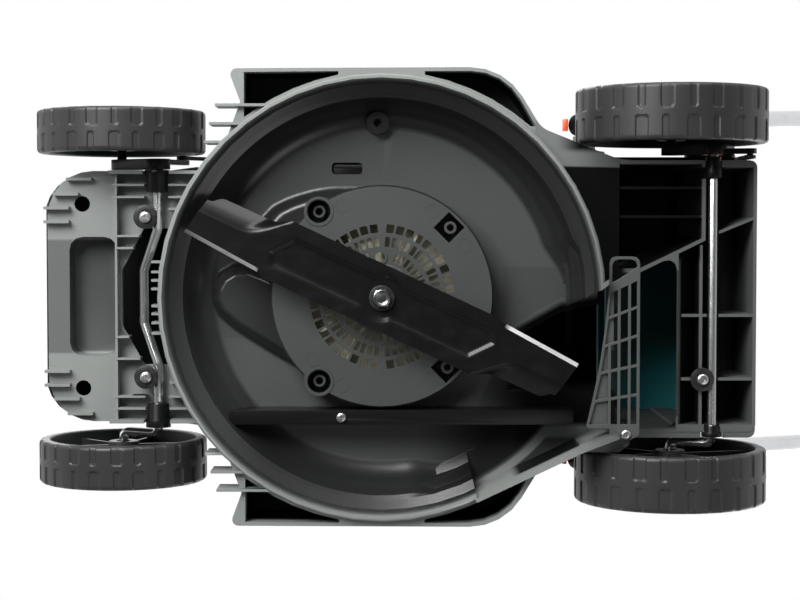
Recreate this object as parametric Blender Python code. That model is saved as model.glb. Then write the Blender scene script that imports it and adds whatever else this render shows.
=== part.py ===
"""Corded rotary lawn mower, upright on its wheels with the handle up."""
import math

import bmesh
import bpy
from mathutils import Matrix, Vector

# All sizes are in millimetres and are turned into metres when a mesh is placed.
# X runs to the rear, Y to the mower's right, Z up; the blade turns about X = Y = 0.
MM = 0.001
SHIFT_X = -313.8
GAP = 0.3
RUN_GAP = 0.25
WALL = 3.0

# Blade chamber and skirts
DRUM_R = 182.5
DRUM_BOTTOM = 14.0
DECK_TOP = 88.0
CEILING = DECK_TOP - WALL
DRUM_STEPS = 48
SKIRT_BOTTOM = 22.0
SKIRT_HALF = 188.0
TAIL_HALF = 114.0
TAIL_END = 314.0
TAIL_BOTTOM = 60.0
FLANGE_OUT = 119.0
TAIL_FRONT = 195.3
TAIL_CREST = 252.0
TAIL_REAR_TOP = 150.0
SEAT_TOP = 147.2
LEAN = 2.8
CREST_X = 205.0
LIP_X = 247.5
LIP_CORNER = 8.0
TAIL_CORNER = 6.0
CHUTE_LEFT = -25.0
CHUTE_RIGHT = 85.0
CHUTE_TOP = 222.0
WELL_R = 92.0
MOTOR_HOLE_R = 62.0

# Front apron
APRON_NOSE = -283.0
APRON_HALF = 105.0
APRON_BOTTOM = 60.0
NOSE_RADIUS = 38.0
GRIP_FRONT = -262.0
GRIP_BACK = -222.0
GRIP_HALF = 50.0
GRIP_DEPTH = 20.0
GRIP_CORNER = 11.0
GRIP_SLOPE = 5.0

# Wheels, axles and the height setting
FRONT_WHEEL_R = 70.0
FRONT_WHEEL_WIDTH = 36.0
FRONT_WHEEL_INNER = 119.5
REAR_WHEEL_R = 81.0
REAR_WHEEL_WIDTH = 46.0
REAR_WHEEL_INNER = 128.5
FRONT_AXLE_X = -186.7
REAR_AXLE_X = 277.3
CRANK_LENGTH = 38.0
HEIGHT_TRAVEL = 40.0
AXLE_R = 4.0
AXLE_BEND = 14.8
HORN_LENGTH = 34.0
FORK_LENGTH = 30.0
LINK_INNER = 115.0
LINK_THICK = 3.0
LINK_RISE = 99.0
LEVER_PIVOT_Z = 156.0
LEVER_LENGTH = 110.0
LEVER_LEAN = 20.0
PIN_R = 2.8
FRONT_BUSH_R = 10.5
REAR_BUSH_R = 6.3

# Blade and motor
BLADE_LENGTH = 340.0
BLADE_WIDTH = 52.0
BLADE_THICK = 3.5
BLADE_Z = 26.0
BLADE_TURN = 25.1
WING_RISE = 8.5
GRIND_WIDTH = 3.0
GRIND_DEPTH = 2.2
SHAFT_R = 6.0
FAN_R = 72.0
CAN_R = 52.0
MOTOR_TOP = 166.0
PLATE_R = 92.0
PLATE_Z = 54.7
VENT_SLOTS = 20

# Hood
HOOD_FRONT_HALF = 104.0
HOOD_REAR_HALF = 111.0
HOOD_STEP = -155.0
HOOD_END = 195.0
HOOD_TOP = 266.0
HOOD_WALL = 2.6

# Handle
PIVOT_X = 180.0
PIVOT_Z = 169.6
PIVOT_Y = 150.0
HANDLE_ANGLE = 47.1
LOWER_LENGTH = 560.0
JOINT_Y = 182.8
UPPER_Y = 161.5
UPPER_LENGTH = 500.0
TUBE_R = 10.0
TUBE_WALL = 1.5
GRIP_R = 15.0
GRIP_LENGTH = 240.0

COLLECTION = "LawnMower"
CUTTERS = "Cutters"

COLOURS = {
    "grey plastic": ((0.20, 0.21, 0.205), 0.55, 0.0),
    "teal plastic": ((0.01, 0.16, 0.16), 0.4, 0.0),
    "black plastic": ((0.02, 0.02, 0.021), 0.5, 0.0),
    "tyre plastic": ((0.03, 0.031, 0.033), 0.6, 0.0),
    "cream plastic": ((0.62, 0.60, 0.50), 0.5, 0.0),
    "orange plastic": ((0.85, 0.16, 0.03), 0.4, 0.0),
    "black steel": ((0.03, 0.03, 0.032), 0.4, 0.6),
    "bright steel": ((0.70, 0.70, 0.70), 0.25, 1.0),
    "chromed steel": ((0.78, 0.78, 0.78), 0.12, 1.0),
    "silver tube": ((0.62, 0.63, 0.64), 0.3, 0.9),
    "motor steel": ((0.30, 0.30, 0.31), 0.4, 0.9),
    "copper wire": ((0.60, 0.25, 0.10), 0.35, 0.8),
    "cast aluminium": ((0.52, 0.53, 0.54), 0.45, 0.9),
    "foam": ((0.022, 0.022, 0.022), 0.95, 0.0),
}


def clear_scene():
    for item in list(bpy.data.objects):
        bpy.data.objects.remove(item)
    for block in (bpy.data.meshes, bpy.data.curves, bpy.data.materials):
        for item in list(block):
            block.remove(item)
    for item in list(bpy.data.collections):
        bpy.data.collections.remove(item)


clear_scene()
parts = bpy.data.collections.new(COLLECTION)
cutters = bpy.data.collections.new(CUTTERS)
bpy.context.scene.collection.children.link(parts)
bpy.context.scene.collection.children.link(cutters)
bodies = {}


def colour(name):
    found = bpy.data.materials.get(name)
    if found:
        return found
    tint, rough, metal = COLOURS[name]
    made = bpy.data.materials.new(name)
    made.use_nodes = True
    shader = made.node_tree.nodes["Principled BSDF"]
    shader.inputs["Base Color"].default_value = (*tint, 1.0)
    shader.inputs["Roughness"].default_value = rough
    shader.inputs["Metallic"].default_value = metal
    made.diffuse_color = (*tint, 1.0)
    return made


def body(name, place, parent=None):
    """An empty on the joint axis that carries the pieces of one moving body."""
    empty = bpy.data.objects.new(name, None)
    empty.empty_display_size = 0.02
    parts.objects.link(empty)
    origin = Vector(place)
    if parent is None:
        empty.location = (SHIFT_X * MM, 0.0, 0.0)
    else:
        empty.parent = bodies[parent][0]
        empty.location = (origin - bodies[parent][1]) * MM
    bodies[name] = (empty, origin)


def settle(mesh, origin):
    mesh.transform(Matrix.Scale(MM, 4) @ Matrix.Translation(-origin))
    mesh.update()


def add(name, mesh, material, carrier):
    """Place a finished mesh as one named piece of a body."""
    empty, origin = bodies[carrier]
    settle(mesh, origin)
    mesh.name = name
    piece = bpy.data.objects.new(name, mesh)
    mesh.materials.clear()
    mesh.materials.append(colour(material))
    mesh.shade_smooth()
    mesh.set_sharp_from_angle(angle=math.radians(32))
    parts.objects.link(piece)
    piece.parent = empty
    return piece


def change(piece, label, mesh, kind):
    empty = piece.parent
    settle(mesh, bodies[empty.name][1])
    tool = bpy.data.objects.new(piece.name + " " + label, mesh)
    cutters.objects.link(tool)
    tool.parent = empty
    tool.hide_render = True
    tool.display_type = "WIRE"
    step = piece.modifiers.new(label, "BOOLEAN")
    step.object = tool
    step.operation = kind
    step.solver = "EXACT"


def cut(piece, label, *meshes):
    change(piece, label, merge(*meshes), "DIFFERENCE")


def fuse(piece, label, *meshes):
    change(piece, label, merge(*meshes), "UNION")


def finish_mesh(shape, name="shape", flat=True):
    if flat:
        bmesh.ops.dissolve_limit(
            shape, angle_limit=0.001, verts=shape.verts, edges=shape.edges)
    bmesh.ops.recalc_face_normals(shape, faces=shape.faces)
    mesh = bpy.data.meshes.new(name)
    shape.to_mesh(mesh)
    shape.free()
    return mesh


def merge(*meshes):
    if len(meshes) == 1:
        return meshes[0]
    shape = bmesh.new()
    for mesh in meshes:
        shape.from_mesh(mesh)
    made = bpy.data.meshes.new("group")
    shape.to_mesh(made)
    shape.free()
    return made


def box(x0, x1, y0, y1, z0, z1):
    shape = bmesh.new()
    size = Matrix.Diagonal((abs(x1 - x0), abs(y1 - y0), abs(z1 - z0), 1.0))
    place = Matrix.Translation(((x0 + x1) / 2, (y0 + y1) / 2, (z0 + z1) / 2))
    bmesh.ops.create_cube(shape, size=1.0, matrix=place @ size)
    return finish_mesh(shape)


def rod(start, end, radius, end_radius=None, steps=20, turn=0.0):
    """Cylinder or cone between two points."""
    first = Vector(start)
    last = Vector(end)
    along = last - first
    aim = along.to_track_quat("Z", "Y").to_matrix().to_4x4()
    place = Matrix.Translation((first + last) / 2) @ aim @ Matrix.Rotation(turn, 4, "Z")
    shape = bmesh.new()
    bmesh.ops.create_cone(
        shape, cap_ends=True, segments=steps, radius1=radius,
        radius2=radius if end_radius is None else end_radius,
        depth=along.length, matrix=place)
    return finish_mesh(shape, flat=False)


AXES = {
    "Z": Matrix.Identity(4),
    "Y": Matrix(((1, 0, 0, 0), (0, 0, 1, 0), (0, 1, 0, 0), (0, 0, 0, 1))),
    "X": Matrix(((0, 0, 1, 0), (1, 0, 0, 0), (0, 1, 0, 0), (0, 0, 0, 1))),
}


def prism(outline, low, high, axis="Z", holes=(), bottom=None, top=None, chamfer=0.0):
    """Outline filled and pushed along an axis; Z ends may follow a height rule."""
    curve = bpy.data.curves.new("outline", "CURVE")
    curve.dimensions = "2D"
    curve.fill_mode = "BOTH"
    curve.extrude = (high - low) / 2
    for loop in (outline, *holes):
        spline = curve.splines.new("POLY")
        spline.points.add(len(loop) - 1)
        spline.use_cyclic_u = True
        for point, place in zip(spline.points, loop):
            point.co = (place[0], place[1], 0.0, 1.0)
    holder = bpy.data.objects.new("outline", curve)
    bpy.context.scene.collection.objects.link(holder)
    raw = bpy.data.meshes.new_from_object(holder)
    bpy.data.objects.remove(holder)
    bpy.data.curves.remove(curve)
    shape = bmesh.new()
    shape.from_mesh(raw)
    bpy.data.meshes.remove(raw)
    bmesh.ops.remove_doubles(shape, verts=shape.verts, dist=1e-4)
    if not holes:
        bmesh.ops.dissolve_limit(
            shape, angle_limit=0.001, verts=shape.verts, edges=shape.edges)
    if chamfer:
        rim = [e for e in shape.edges
               if all(v.co.z > 0 for v in e.verts) and abs(e.calc_face_angle(0.0)) > 0.5]
        bmesh.ops.bevel(
            shape, geom=rim, offset=chamfer, segments=2, profile=0.5,
            affect="EDGES", clamp_overlap=True, material=-1)
    for vert in shape.verts:
        x, y, z = vert.co
        if z > 0:
            vert.co.z = top(x, y) if top else z + (low + high) / 2
        else:
            vert.co.z = bottom(x, y) if bottom else z + (low + high) / 2
    bmesh.ops.transform(shape, matrix=AXES[axis], verts=shape.verts)
    return finish_mesh(shape, flat=False)


def rounded(points, steps=5):
    """Polygon corners given as (x, y, radius) turned into arcs."""
    made = []
    count = len(points)
    for index, corner in enumerate(points):
        here = Vector(corner[:2])
        radius = corner[2] if len(corner) > 2 else 0.0
        if radius <= 0:
            made.append(tuple(here))
            continue
        before = (Vector(points[index - 1][:2]) - here).normalized()
        after = (Vector(points[(index + 1) % count][:2]) - here).normalized()
        half = before.angle(after) / 2
        reach = radius / math.tan(half)
        middle = here + (before + after).normalized() * radius / math.sin(half)
        first = here + before * reach - middle
        last = here + after * reach - middle
        sweep = math.atan2(first.cross(last), first.dot(last))
        for step in range(steps + 1):
            angle = sweep * step / steps
            made.append((
                middle.x + first.x * math.cos(angle) - first.y * math.sin(angle),
                middle.y + first.x * math.sin(angle) + first.y * math.cos(angle)))
    return made


def ring(centre, radius, steps=16, start=0.0):
    return [(centre[0] + radius * math.cos(start + 2 * math.pi * i / steps),
             centre[1] + radius * math.sin(start + 2 * math.pi * i / steps))
            for i in range(steps)]


def band(points, half, end_steps=4):
    """Outline of a strip of even width along a broken line, with round ends."""
    line = [Vector(p) for p in points]
    left = []
    right = []
    for index, here in enumerate(line):
        into = (here - line[index - 1]).normalized() if index else None
        out = (line[index + 1] - here).normalized() if index + 1 < len(line) else None
        way = ((into or out) + (out or into)).normalized()
        scale = half / max(0.4, way.dot(into or out))
        side = Vector((-way.y, way.x)) * scale
        if index in (0, len(line) - 1):
            sign = -1.0 if index == 0 else 1.0
            arc = []
            for step in range(end_steps + 1):
                angle = math.pi / 2 - math.pi * step / end_steps
                arc.append(here + way * sign * half * math.cos(angle)
                           + Vector((-way.y, way.x)) * sign * half * math.sin(angle))
            if index == 0:
                start_arc = arc
            else:
                end_arc = arc
        else:
            left.append(here + side)
            right.append(here - side)
    loop = start_arc + left + end_arc + right[::-1]
    return [tuple(p) for p in loop]


def lathe(profile, steps=24, centre=(0.0, 0.0, 0.0), axis="Z"):
    """Closed profile of (radius, height) turned once round an axis."""
    shape = bmesh.new()
    line = [shape.verts.new((r, 0.0, h)) for r, h in profile]
    edges = [shape.edges.new((line[i], line[(i + 1) % len(line)]))
             for i in range(len(line))
             if profile[i][0] > 1e-6 or profile[(i + 1) % len(line)][0] > 1e-6]
    bmesh.ops.spin(
        shape, geom=line + edges, cent=(0, 0, 0), axis=(0, 0, 1), dvec=(0, 0, 0),
        angle=2 * math.pi, steps=steps, use_merge=True, use_duplicate=False)
    bmesh.ops.remove_doubles(shape, verts=shape.verts, dist=1e-4)
    place = Matrix.Translation(centre)
    if axis == "Y":
        place = place @ Matrix.Rotation(-math.pi / 2, 4, "X")
    if axis == "X":
        place = place @ Matrix.Rotation(math.pi / 2, 4, "Y")
    bmesh.ops.transform(shape, matrix=place, verts=shape.verts)
    return finish_mesh(shape, flat=False)


def bent(points, bend, arc_steps):
    """A broken line with its corners turned into arcs."""
    path = []
    line = [Vector(p) for p in points]
    for index, here in enumerate(line):
        if index in (0, len(line) - 1) or bend <= 0:
            path.append(here)
            continue
        before = (line[index - 1] - here).normalized()
        after = (line[index + 1] - here).normalized()
        half = before.angle(after) / 2
        reach = bend / math.tan(half)
        middle = here + (before + after).normalized() * bend / math.sin(half)
        first = here + before * reach - middle
        last = here + after * reach - middle
        for step in range(arc_steps + 1):
            path.append(middle + first.slerp(last, step / arc_steps).normalized() * bend)
    return path


def hollow_tube(points, outer, inner, bend, sides=14, arc_steps=4):
    """Open-ended tube along a flat broken line with rounded bends."""
    path = bent(points, bend, arc_steps)
    rings = []
    for index, here in enumerate(path):
        way = (path[min(index + 1, len(path) - 1)] - path[max(index - 1, 0)]).normalized()
        side = way.cross(Vector((0.0, 0.0, 1.0))).normalized()
        rings.append([(here, side, 2 * math.pi * i / sides) for i in range(sides)])
    sections = []
    for radius, order in ((outer, rings), (inner, rings[::-1])):
        for row in order:
            sections.append([here + side * radius * math.cos(angle)
                             + Vector((0.0, 0.0, radius * math.sin(angle)))
                             for here, side, angle in row])
    sections.append(sections[0])
    shape = bmesh.new()
    rows = [[shape.verts.new(spot) for spot in section] for section in sections]
    for first, second in zip(rows, rows[1:]):
        for i in range(sides):
            j = (i + 1) % sides
            shape.faces.new((first[i], first[j], second[j], second[i]))
    bmesh.ops.remove_doubles(shape, verts=shape.verts, dist=1e-4)
    return finish_mesh(shape, flat=False)


def pipe(points, radius, bend=0.0, resolution=2, arc_steps=4):
    """Round bar along a broken line with rounded bends."""
    path = bent(points, bend, arc_steps)
    curve = bpy.data.curves.new("path", "CURVE")
    curve.dimensions = "3D"
    curve.bevel_depth = radius
    curve.bevel_resolution = resolution
    curve.use_fill_caps = True
    spline = curve.splines.new("POLY")
    spline.points.add(len(path) - 1)
    for point, place in zip(spline.points, path):
        point.co = (*place, 1.0)
    holder = bpy.data.objects.new("path", curve)
    bpy.context.scene.collection.objects.link(holder)
    raw = bpy.data.meshes.new_from_object(holder)
    bpy.data.objects.remove(holder)
    bpy.data.curves.remove(curve)
    shape = bmesh.new()
    shape.from_mesh(raw)
    bpy.data.meshes.remove(raw)
    bmesh.ops.remove_doubles(shape, verts=shape.verts, dist=1e-4)
    return finish_mesh(shape, flat=False)


def loft(sections, close_start=True, close_end=True):
    """Skin over rings of points that all have the same count."""
    shape = bmesh.new()
    rows = [[shape.verts.new(p) for p in section] for section in sections]
    count = len(rows[0])
    for first, second in zip(rows, rows[1:]):
        for i in range(count):
            j = (i + 1) % count
            shape.faces.new((first[i], first[j], second[j], second[i]))
    if close_start:
        shape.faces.new(rows[0][::-1])
    if close_end:
        shape.faces.new(rows[-1])
    return finish_mesh(shape, flat=False)


def turned(mesh, matrix):
    mesh.transform(matrix)
    return mesh


# Bodies: each empty stands on its joint axis
REST_ANGLE = math.asin(HEIGHT_TRAVEL / 2 / CRANK_LENGTH)
CRANK_X = -math.cos(REST_ANGLE)
CRANK_Z = math.sin(REST_ANGLE)
FRONT_AXLE_Z = FRONT_WHEEL_R - CRANK_LENGTH * CRANK_Z
REAR_AXLE_Z = REAR_WHEEL_R - CRANK_LENGTH * CRANK_Z
FRONT_WHEEL_X = FRONT_AXLE_X + CRANK_LENGTH * CRANK_X
REAR_WHEEL_X = REAR_AXLE_X + CRANK_LENGTH * CRANK_X
HORN_DX = HORN_LENGTH * math.sin(REST_ANGLE)
HORN_DZ = HORN_LENGTH * math.cos(REST_ANGLE)
FORK_DX = FORK_LENGTH * math.cos(math.radians(15.6))
FORK_DZ = -FORK_LENGTH * math.sin(math.radians(15.6))
BLADE_TOP = BLADE_Z + BLADE_THICK
FRONT_PIN = (FRONT_AXLE_X + HORN_DX, FRONT_AXLE_Z + HORN_DZ)
REAR_PIN = (REAR_AXLE_X + HORN_DX, REAR_AXLE_Z + HORN_DZ)
FORK_PIN = (REAR_AXLE_X + FORK_DX, REAR_AXLE_Z + FORK_DZ)
LEVER_PIN = (REAR_AXLE_X + FORK_DX, LEVER_PIVOT_Z + FORK_DZ)
LINK_Y = -(LINK_INNER + LINK_THICK / 2)
LEVER_Y = -120.6
FLAP_AXIS = (206.5, 260.0)

TILT = Matrix.Rotation(-math.radians(HANDLE_ANGLE), 4, "Y")
HANDLE = Matrix.Translation((PIVOT_X, 0.0, PIVOT_Z)) @ TILT


def on_handle(u, v, w):
    return HANDLE @ Vector((u, v, w))


body("mower", (0.0, 0.0, 0.0))
body("spindle_body", (0.0, 0.0, BLADE_Z), "mower")
body("front_axle_body", (FRONT_AXLE_X, 0.0, FRONT_AXLE_Z), "mower")
body("rear_axle_body", (REAR_AXLE_X, 0.0, REAR_AXLE_Z), "mower")
body("height_link_body", (REAR_PIN[0], LINK_Y, REAR_PIN[1]), "rear_axle_body")
body("height_lever_body", (REAR_AXLE_X, LEVER_Y, LEVER_PIVOT_Z), "mower")
body("adjuster_rod_body", (LEVER_PIN[0], LINK_Y, LEVER_PIN[1]), "height_lever_body")
FRONT_WHEEL_MID = FRONT_WHEEL_INNER + FRONT_WHEEL_WIDTH / 2
REAR_WHEEL_MID = REAR_WHEEL_INNER + REAR_WHEEL_WIDTH / 2
for side, sign in (("left", -1.0), ("right", 1.0)):
    body("front_wheel_body_" + side,
         (FRONT_WHEEL_X, sign * FRONT_WHEEL_MID, FRONT_WHEEL_R), "front_axle_body")
    body("rear_wheel_body_" + side,
         (REAR_WHEEL_X, sign * REAR_WHEEL_MID, REAR_WHEEL_R), "rear_axle_body")
body("rear_flap_body", (FLAP_AXIS[0], 0.0, FLAP_AXIS[1]), "mower")
body("lower_handle_body", (PIVOT_X, 0.0, PIVOT_Z), "mower")
body("upper_handle_body", on_handle(LOWER_LENGTH, 0.0, 0.0), "lower_handle_body")


# Deck shell
def slope(x, y=0.0):
    """Height of the tail's sloping rear top."""
    part = (x - CREST_X) / (TAIL_END - CREST_X)
    return TAIL_CREST + (TAIL_REAR_TOP - TAIL_CREST) * part


FLOOR_RISE = (TAIL_REAR_TOP - 6.0 - TAIL_BOTTOM) / (TAIL_END - 2.5 - LIP_X)


def duct_floor(x, y=0.0):
    return TAIL_BOTTOM + max(0.0, x - LIP_X) * FLOOR_RISE


def both(points):
    """Mirror a half outline that starts and ends off the middle line."""
    return points + [(x, -y, *rest) for x, y, *rest in reversed(points)]


SKIRT_TOP_EDGE = 8.0
skirt_half = [
    (-128.0, 125.0), (-115.0, 160.0), (-125.0, SKIRT_HALF - 1.0, 5.0),
    (100.0, SKIRT_HALF, 50.0), (130.0, 139.0, 20.0), (200.0, TAIL_HALF, 60.0),
    (TAIL_END - 0.5, TAIL_HALF, 6.0)]
deck = add("deck_shell", prism(
    rounded(both(skirt_half), 4), SKIRT_BOTTOM, DECK_TOP, chamfer=4.0),
    "grey plastic", "mower")
cut(deck, "rising skirt edge", prism(
    [(122.0, 20.5), (200.0, TAIL_BOTTOM), (330.0, TAIL_BOTTOM), (330.0, 5.0),
     (122.0, 5.0)], -200.0, 200.0, "Y"))
fuse(deck, "drum", lathe([
    (0.0, DRUM_BOTTOM), (DRUM_R - 1.5, DRUM_BOTTOM), (DRUM_R, DRUM_BOTTOM + 2.0),
    (DRUM_R, DECK_TOP - 5.0), (DRUM_R - 5.0, DECK_TOP - 0.2), (0.0, DECK_TOP - 0.2)],
    DRUM_STEPS))

# The discharge channel leaves the chamber on a tangent at the rear right.
channel_outer = [(60.0, 140.0), (78.0, 166.8), (164.5, 126.0), (197.0, 113.6),
                 (200.0, 113.6), (200.0, -16.0), (186.0, -16.0), (60.0, 60.0)]
channel_inner = [(78.0, 163.5), (163.0, 123.0), (196.0, 110.4), (LIP_X, 110.4),
                 (LIP_X, -20.0), (186.0, -12.0), (60.0, 80.0)]
fuse(deck, "channel wall", prism(channel_outer, DRUM_BOTTOM, DECK_TOP - 0.4))
fuse(deck, "tail", prism(
    [(TAIL_FRONT, TAIL_BOTTOM + 0.2), (TAIL_FRONT, TAIL_CREST), (CREST_X, TAIL_CREST),
     (TAIL_END - 0.1, TAIL_REAR_TOP), (TAIL_END - 0.1, TAIL_BOTTOM + 0.2)],
    -TAIL_HALF, TAIL_HALF, "Y"))
fuse(deck, "chute", prism(
    [(98.0, CEILING), (98.0, DECK_TOP + 2.0), (185.0, CHUTE_TOP + 3.0),
     (TAIL_FRONT + 1.0, CHUTE_TOP + 3.0), (TAIL_FRONT + 1.0, CEILING)],
    CHUTE_LEFT, CHUTE_RIGHT, "Y"))

# Front apron: a plate with the axle bay behind it and the grip recess in it.
NOSE_BOW = 3.0
apron_half = [(APRON_NOSE, 0.5), (APRON_NOSE + NOSE_BOW, APRON_HALF, NOSE_RADIUS),
              (-140.0, APRON_HALF)]
apron = prism(
    rounded(both(apron_half[1:])[:1] + both(apron_half[1:])[1:], 6),
    APRON_BOTTOM, APRON_BOTTOM + WALL,
    holes=[[(-199.6, -57.0), (-218.0, -22.0), (-218.0, 24.0), (-199.6, 57.0),
            (-160.0, 57.0), (-160.0, -57.0)],
           ring((-251.0, -77.5), 6.7, 12), ring((-251.0, 77.0), 6.7, 12)])
fuse(deck, "apron", apron)
BAY_FRONT = -226.0
fuse(deck, "axle bay walls",
     box(BAY_FRONT, -141.0, 102.0, 104.8, 40.0, APRON_BOTTOM + 2.0),
     box(BAY_FRONT, -141.0, -104.8, -102.0, 40.0, APRON_BOTTOM + 2.0))


def grip_outline(wall):
    """Grip recess from above, grown by a wall."""
    half = GRIP_HALF + wall
    corner = GRIP_CORNER + wall
    return rounded([(GRIP_FRONT - wall, half, corner), (GRIP_BACK + wall, half, corner),
                    (GRIP_BACK + wall, -half, corner), (GRIP_FRONT - wall, -half, corner)], 3)


fuse(deck, "grip recess", prism(
    grip_outline(2.5), APRON_BOTTOM + 1.0, APRON_BOTTOM + GRIP_DEPTH + 2.5,
    chamfer=GRIP_SLOPE))
cut(deck, "grip hollow", prism(
    grip_outline(0.0), APRON_BOTTOM - 5.0, APRON_BOTTOM + GRIP_DEPTH, chamfer=GRIP_SLOPE))

corner_arc = rounded([(TAIL_END - TAIL_CORNER - 0.2, TAIL_HALF), (TAIL_END, TAIL_HALF, TAIL_CORNER),
                      (TAIL_END, TAIL_HALF - TAIL_CORNER - 0.2)], 3)
corner_tool = corner_arc + [(TAIL_END + 3.0, TAIL_HALF - TAIL_CORNER - 0.2),
                            (TAIL_END + 3.0, TAIL_HALF + 3.0),
                            (TAIL_END - TAIL_CORNER - 0.2, TAIL_HALF + 3.0)]
cut(deck, "tail corner right", prism(corner_tool, 15.0, 160.0))
cut(deck, "tail corner left", prism([(x, -y) for x, y in corner_tool], 15.0, 160.0))
# The rear face leans in above the seat, so the flap's free edge clears what rests on it.
cut(deck, "seat lead-in", prism(
    [(TAIL_END + 1.0, SEAT_TOP - LEAN * 1.1), (TAIL_END + 3.0, SEAT_TOP - LEAN * 1.1),
     (TAIL_END + 3.0, SEAT_TOP + LEAN * 1.9), (TAIL_END - 2.0, SEAT_TOP + LEAN * 1.9)],
    -TAIL_HALF - 1.0, TAIL_HALF + 1.0, "Y"))

# Handle brackets stand on the skirts beside the tail.
BRACKET_INNER = 119.0
BRACKET_OUTER = 125.0
bracket = rounded([
    (134.0, CEILING), (170.0, CEILING), (196.5, 148.0, 10.0), (196.5, 186.0, 14.0),
    (166.0, 186.0, 12.0), (160.0, 170.0, 10.0)], 3)
for side, sign in (("left", -1.0), ("right", 1.0)):
    inner, outer = sorted((sign * BRACKET_INNER, sign * BRACKET_OUTER))
    fuse(deck, "bracket " + side, prism(bracket, inner, outer, "Y"))
fuse(deck, "bracket bosses",
     rod((PIVOT_X, 124.0, PIVOT_Z), (PIVOT_X, 139.6, PIVOT_Z), 11.0, 9.5, 20),
     rod((PIVOT_X, -124.0, PIVOT_Z), (PIVOT_X, -139.6, PIVOT_Z), 11.0, 9.5, 20))
PIVOT_PIN_R = 4.0
fuse(deck, "pivot pins",
     rod((PIVOT_X, 138.0, PIVOT_Z), (PIVOT_X, 160.5, PIVOT_Z), PIVOT_PIN_R, steps=14),
     rod((PIVOT_X, -138.0, PIVOT_Z), (PIVOT_X, -160.5, PIVOT_Z), PIVOT_PIN_R, steps=14))

# Hollows
cut(deck, "chamber", lathe([
    (0.0, DRUM_BOTTOM - 4.0), (179.5, DRUM_BOTTOM - 4.0), (179.0, DRUM_BOTTOM),
    (176.0, 36.0), (169.0, 40.0), (168.0, 60.0), (164.0, 64.0), (160.0, 80.0),
    (152.0, CEILING), (0.0, CEILING)], DRUM_STEPS))
cut(deck, "channel", prism(channel_inner, DRUM_BOTTOM - 4.0, CEILING - 0.2))


def divider(x):
    """Slanting wall between the duct and the left tail pocket."""
    return -20.0 - 0.49 * (x - 216.0)


cut(deck, "duct", prism(
    [(TAIL_FRONT + 3.2, -20.0), (216.0, -20.0), (271.0, divider(271.0)), (271.0, -108.0),
     (TAIL_END - 3.0, -108.0), (TAIL_END - 3.0, 108.0), (LIP_X, 108.0), (LIP_X, 110.6),
     (TAIL_FRONT + 3.2, 110.6)], 20.0, 300.0))
cut(deck, "chute passage", prism(
    [(106.0, CEILING - 3.0), (106.0, DECK_TOP + 7.0), (182.0, CHUTE_TOP),
     (TAIL_FRONT + 6.0, CHUTE_TOP), (TAIL_FRONT + 6.0, CEILING - 3.0)],
    CHUTE_LEFT + 3.0, CHUTE_RIGHT - 3.0, "Y"))
cut(deck, "left tail pocket", prism(
    [(TAIL_FRONT + 3.2, -110.9), (268.0, -110.9), (268.0, divider(268.0) - 3.4),
     (216.0, -23.4), (TAIL_FRONT + 3.2, -23.4)], 20.0, 300.0, top=lambda x, y: slope(x) - 4.0))
HOLLOW_R = DRUM_R + 2.7
HOLLOW_SIDE = SKIRT_HALF - WALL


def drum_arc(first, last):
    """Points outside the drum, between two bearings in degrees."""
    return [(HOLLOW_R * math.cos(math.radians(d)), HOLLOW_R * math.sin(math.radians(d)))
            for d in range(first, last + 1, 6)]


front_hollow = [(-112.0, 147.5), (-112.0, HOLLOW_SIDE - 1.0), (-35.0, HOLLOW_SIDE - 0.3)]
front_hollow = front_hollow + drum_arc(101, 121)
left_hollow = rounded([(35.0, HOLLOW_SIDE - 0.3), (100.0, HOLLOW_SIDE, 47.0),
                       (125.5, 140.0)], 4) + drum_arc(49, 79)
right_hollow = rounded([(35.0, HOLLOW_SIDE - 0.3), (100.0, HOLLOW_SIDE, 47.0),
                        (119.0, 148.5)], 4) + [(82.0, 166.0)] + drum_arc(67, 79)
cut(deck, "side hollows left",
    prism([(x, -y) for x, y in front_hollow], 10.0, CEILING - 0.3),
    prism([(x, -y) for x, y in left_hollow], 10.0, CEILING - 0.3))
cut(deck, "side hollows right", prism(front_hollow, 10.0, CEILING - 0.3),
    prism(right_hollow, 10.0, CEILING - 0.3))
cut(deck, "motor hole", rod((0, 0, 80), (0, 0, 95), MOTOR_HOLE_R, steps=40))

# Pieces inside
fuse(deck, "motor well", lathe([
    (WELL_R - 1.5, PLATE_Z + WALL + GAP), (WELL_R + 1.5, PLATE_Z + WALL + GAP),
    (WELL_R + 1.5, CEILING + 1.0), (WELL_R - 1.5, CEILING + 1.0)], 48))
fuse(deck, "ceiling bulge", prism(
    rounded([(-92.6, 35.0), (-150.0, 35.0, 34.0), (-150.0, -35.0, 34.0), (-92.6, -35.0)], 6),
    70.0, CEILING + 1.0))
fuse(deck, "duct floor", prism(
    [(LIP_X, 109.5), (LIP_X, divider(LIP_X) - 1.5), (270.0, divider(270.0) - 1.5),
     (269.6, -109.5), (TAIL_END - 2.0, -109.0), (TAIL_END - 2.0, 109.0)], 60.0, 70.0,
    bottom=duct_floor, top=lambda x, y: duct_floor(x) + WALL))
lip_corner_right = rounded([
    (LIP_X - LIP_CORNER - 0.4, 109.4), (LIP_X, 109.4, LIP_CORNER),
    (LIP_X, 109.0 - LIP_CORNER)], 3) + [
        (LIP_X + 1.0, 109.0 - LIP_CORNER), (LIP_X + 1.0, 111.0),
        (LIP_X - LIP_CORNER - 0.4, 111.0)]
lip_corner_left = rounded([
    (LIP_X, divider(LIP_X) + 14.0), (LIP_X, divider(LIP_X), LIP_CORNER),
    (LIP_X - 13.0, divider(LIP_X - 13.0))], 3) + [
        (LIP_X - 13.6, divider(LIP_X - 13.6) - 2.0), (LIP_X + 1.0, divider(LIP_X + 1.0) - 1.7),
        (LIP_X + 1.0, divider(LIP_X) + 14.0)]
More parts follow.
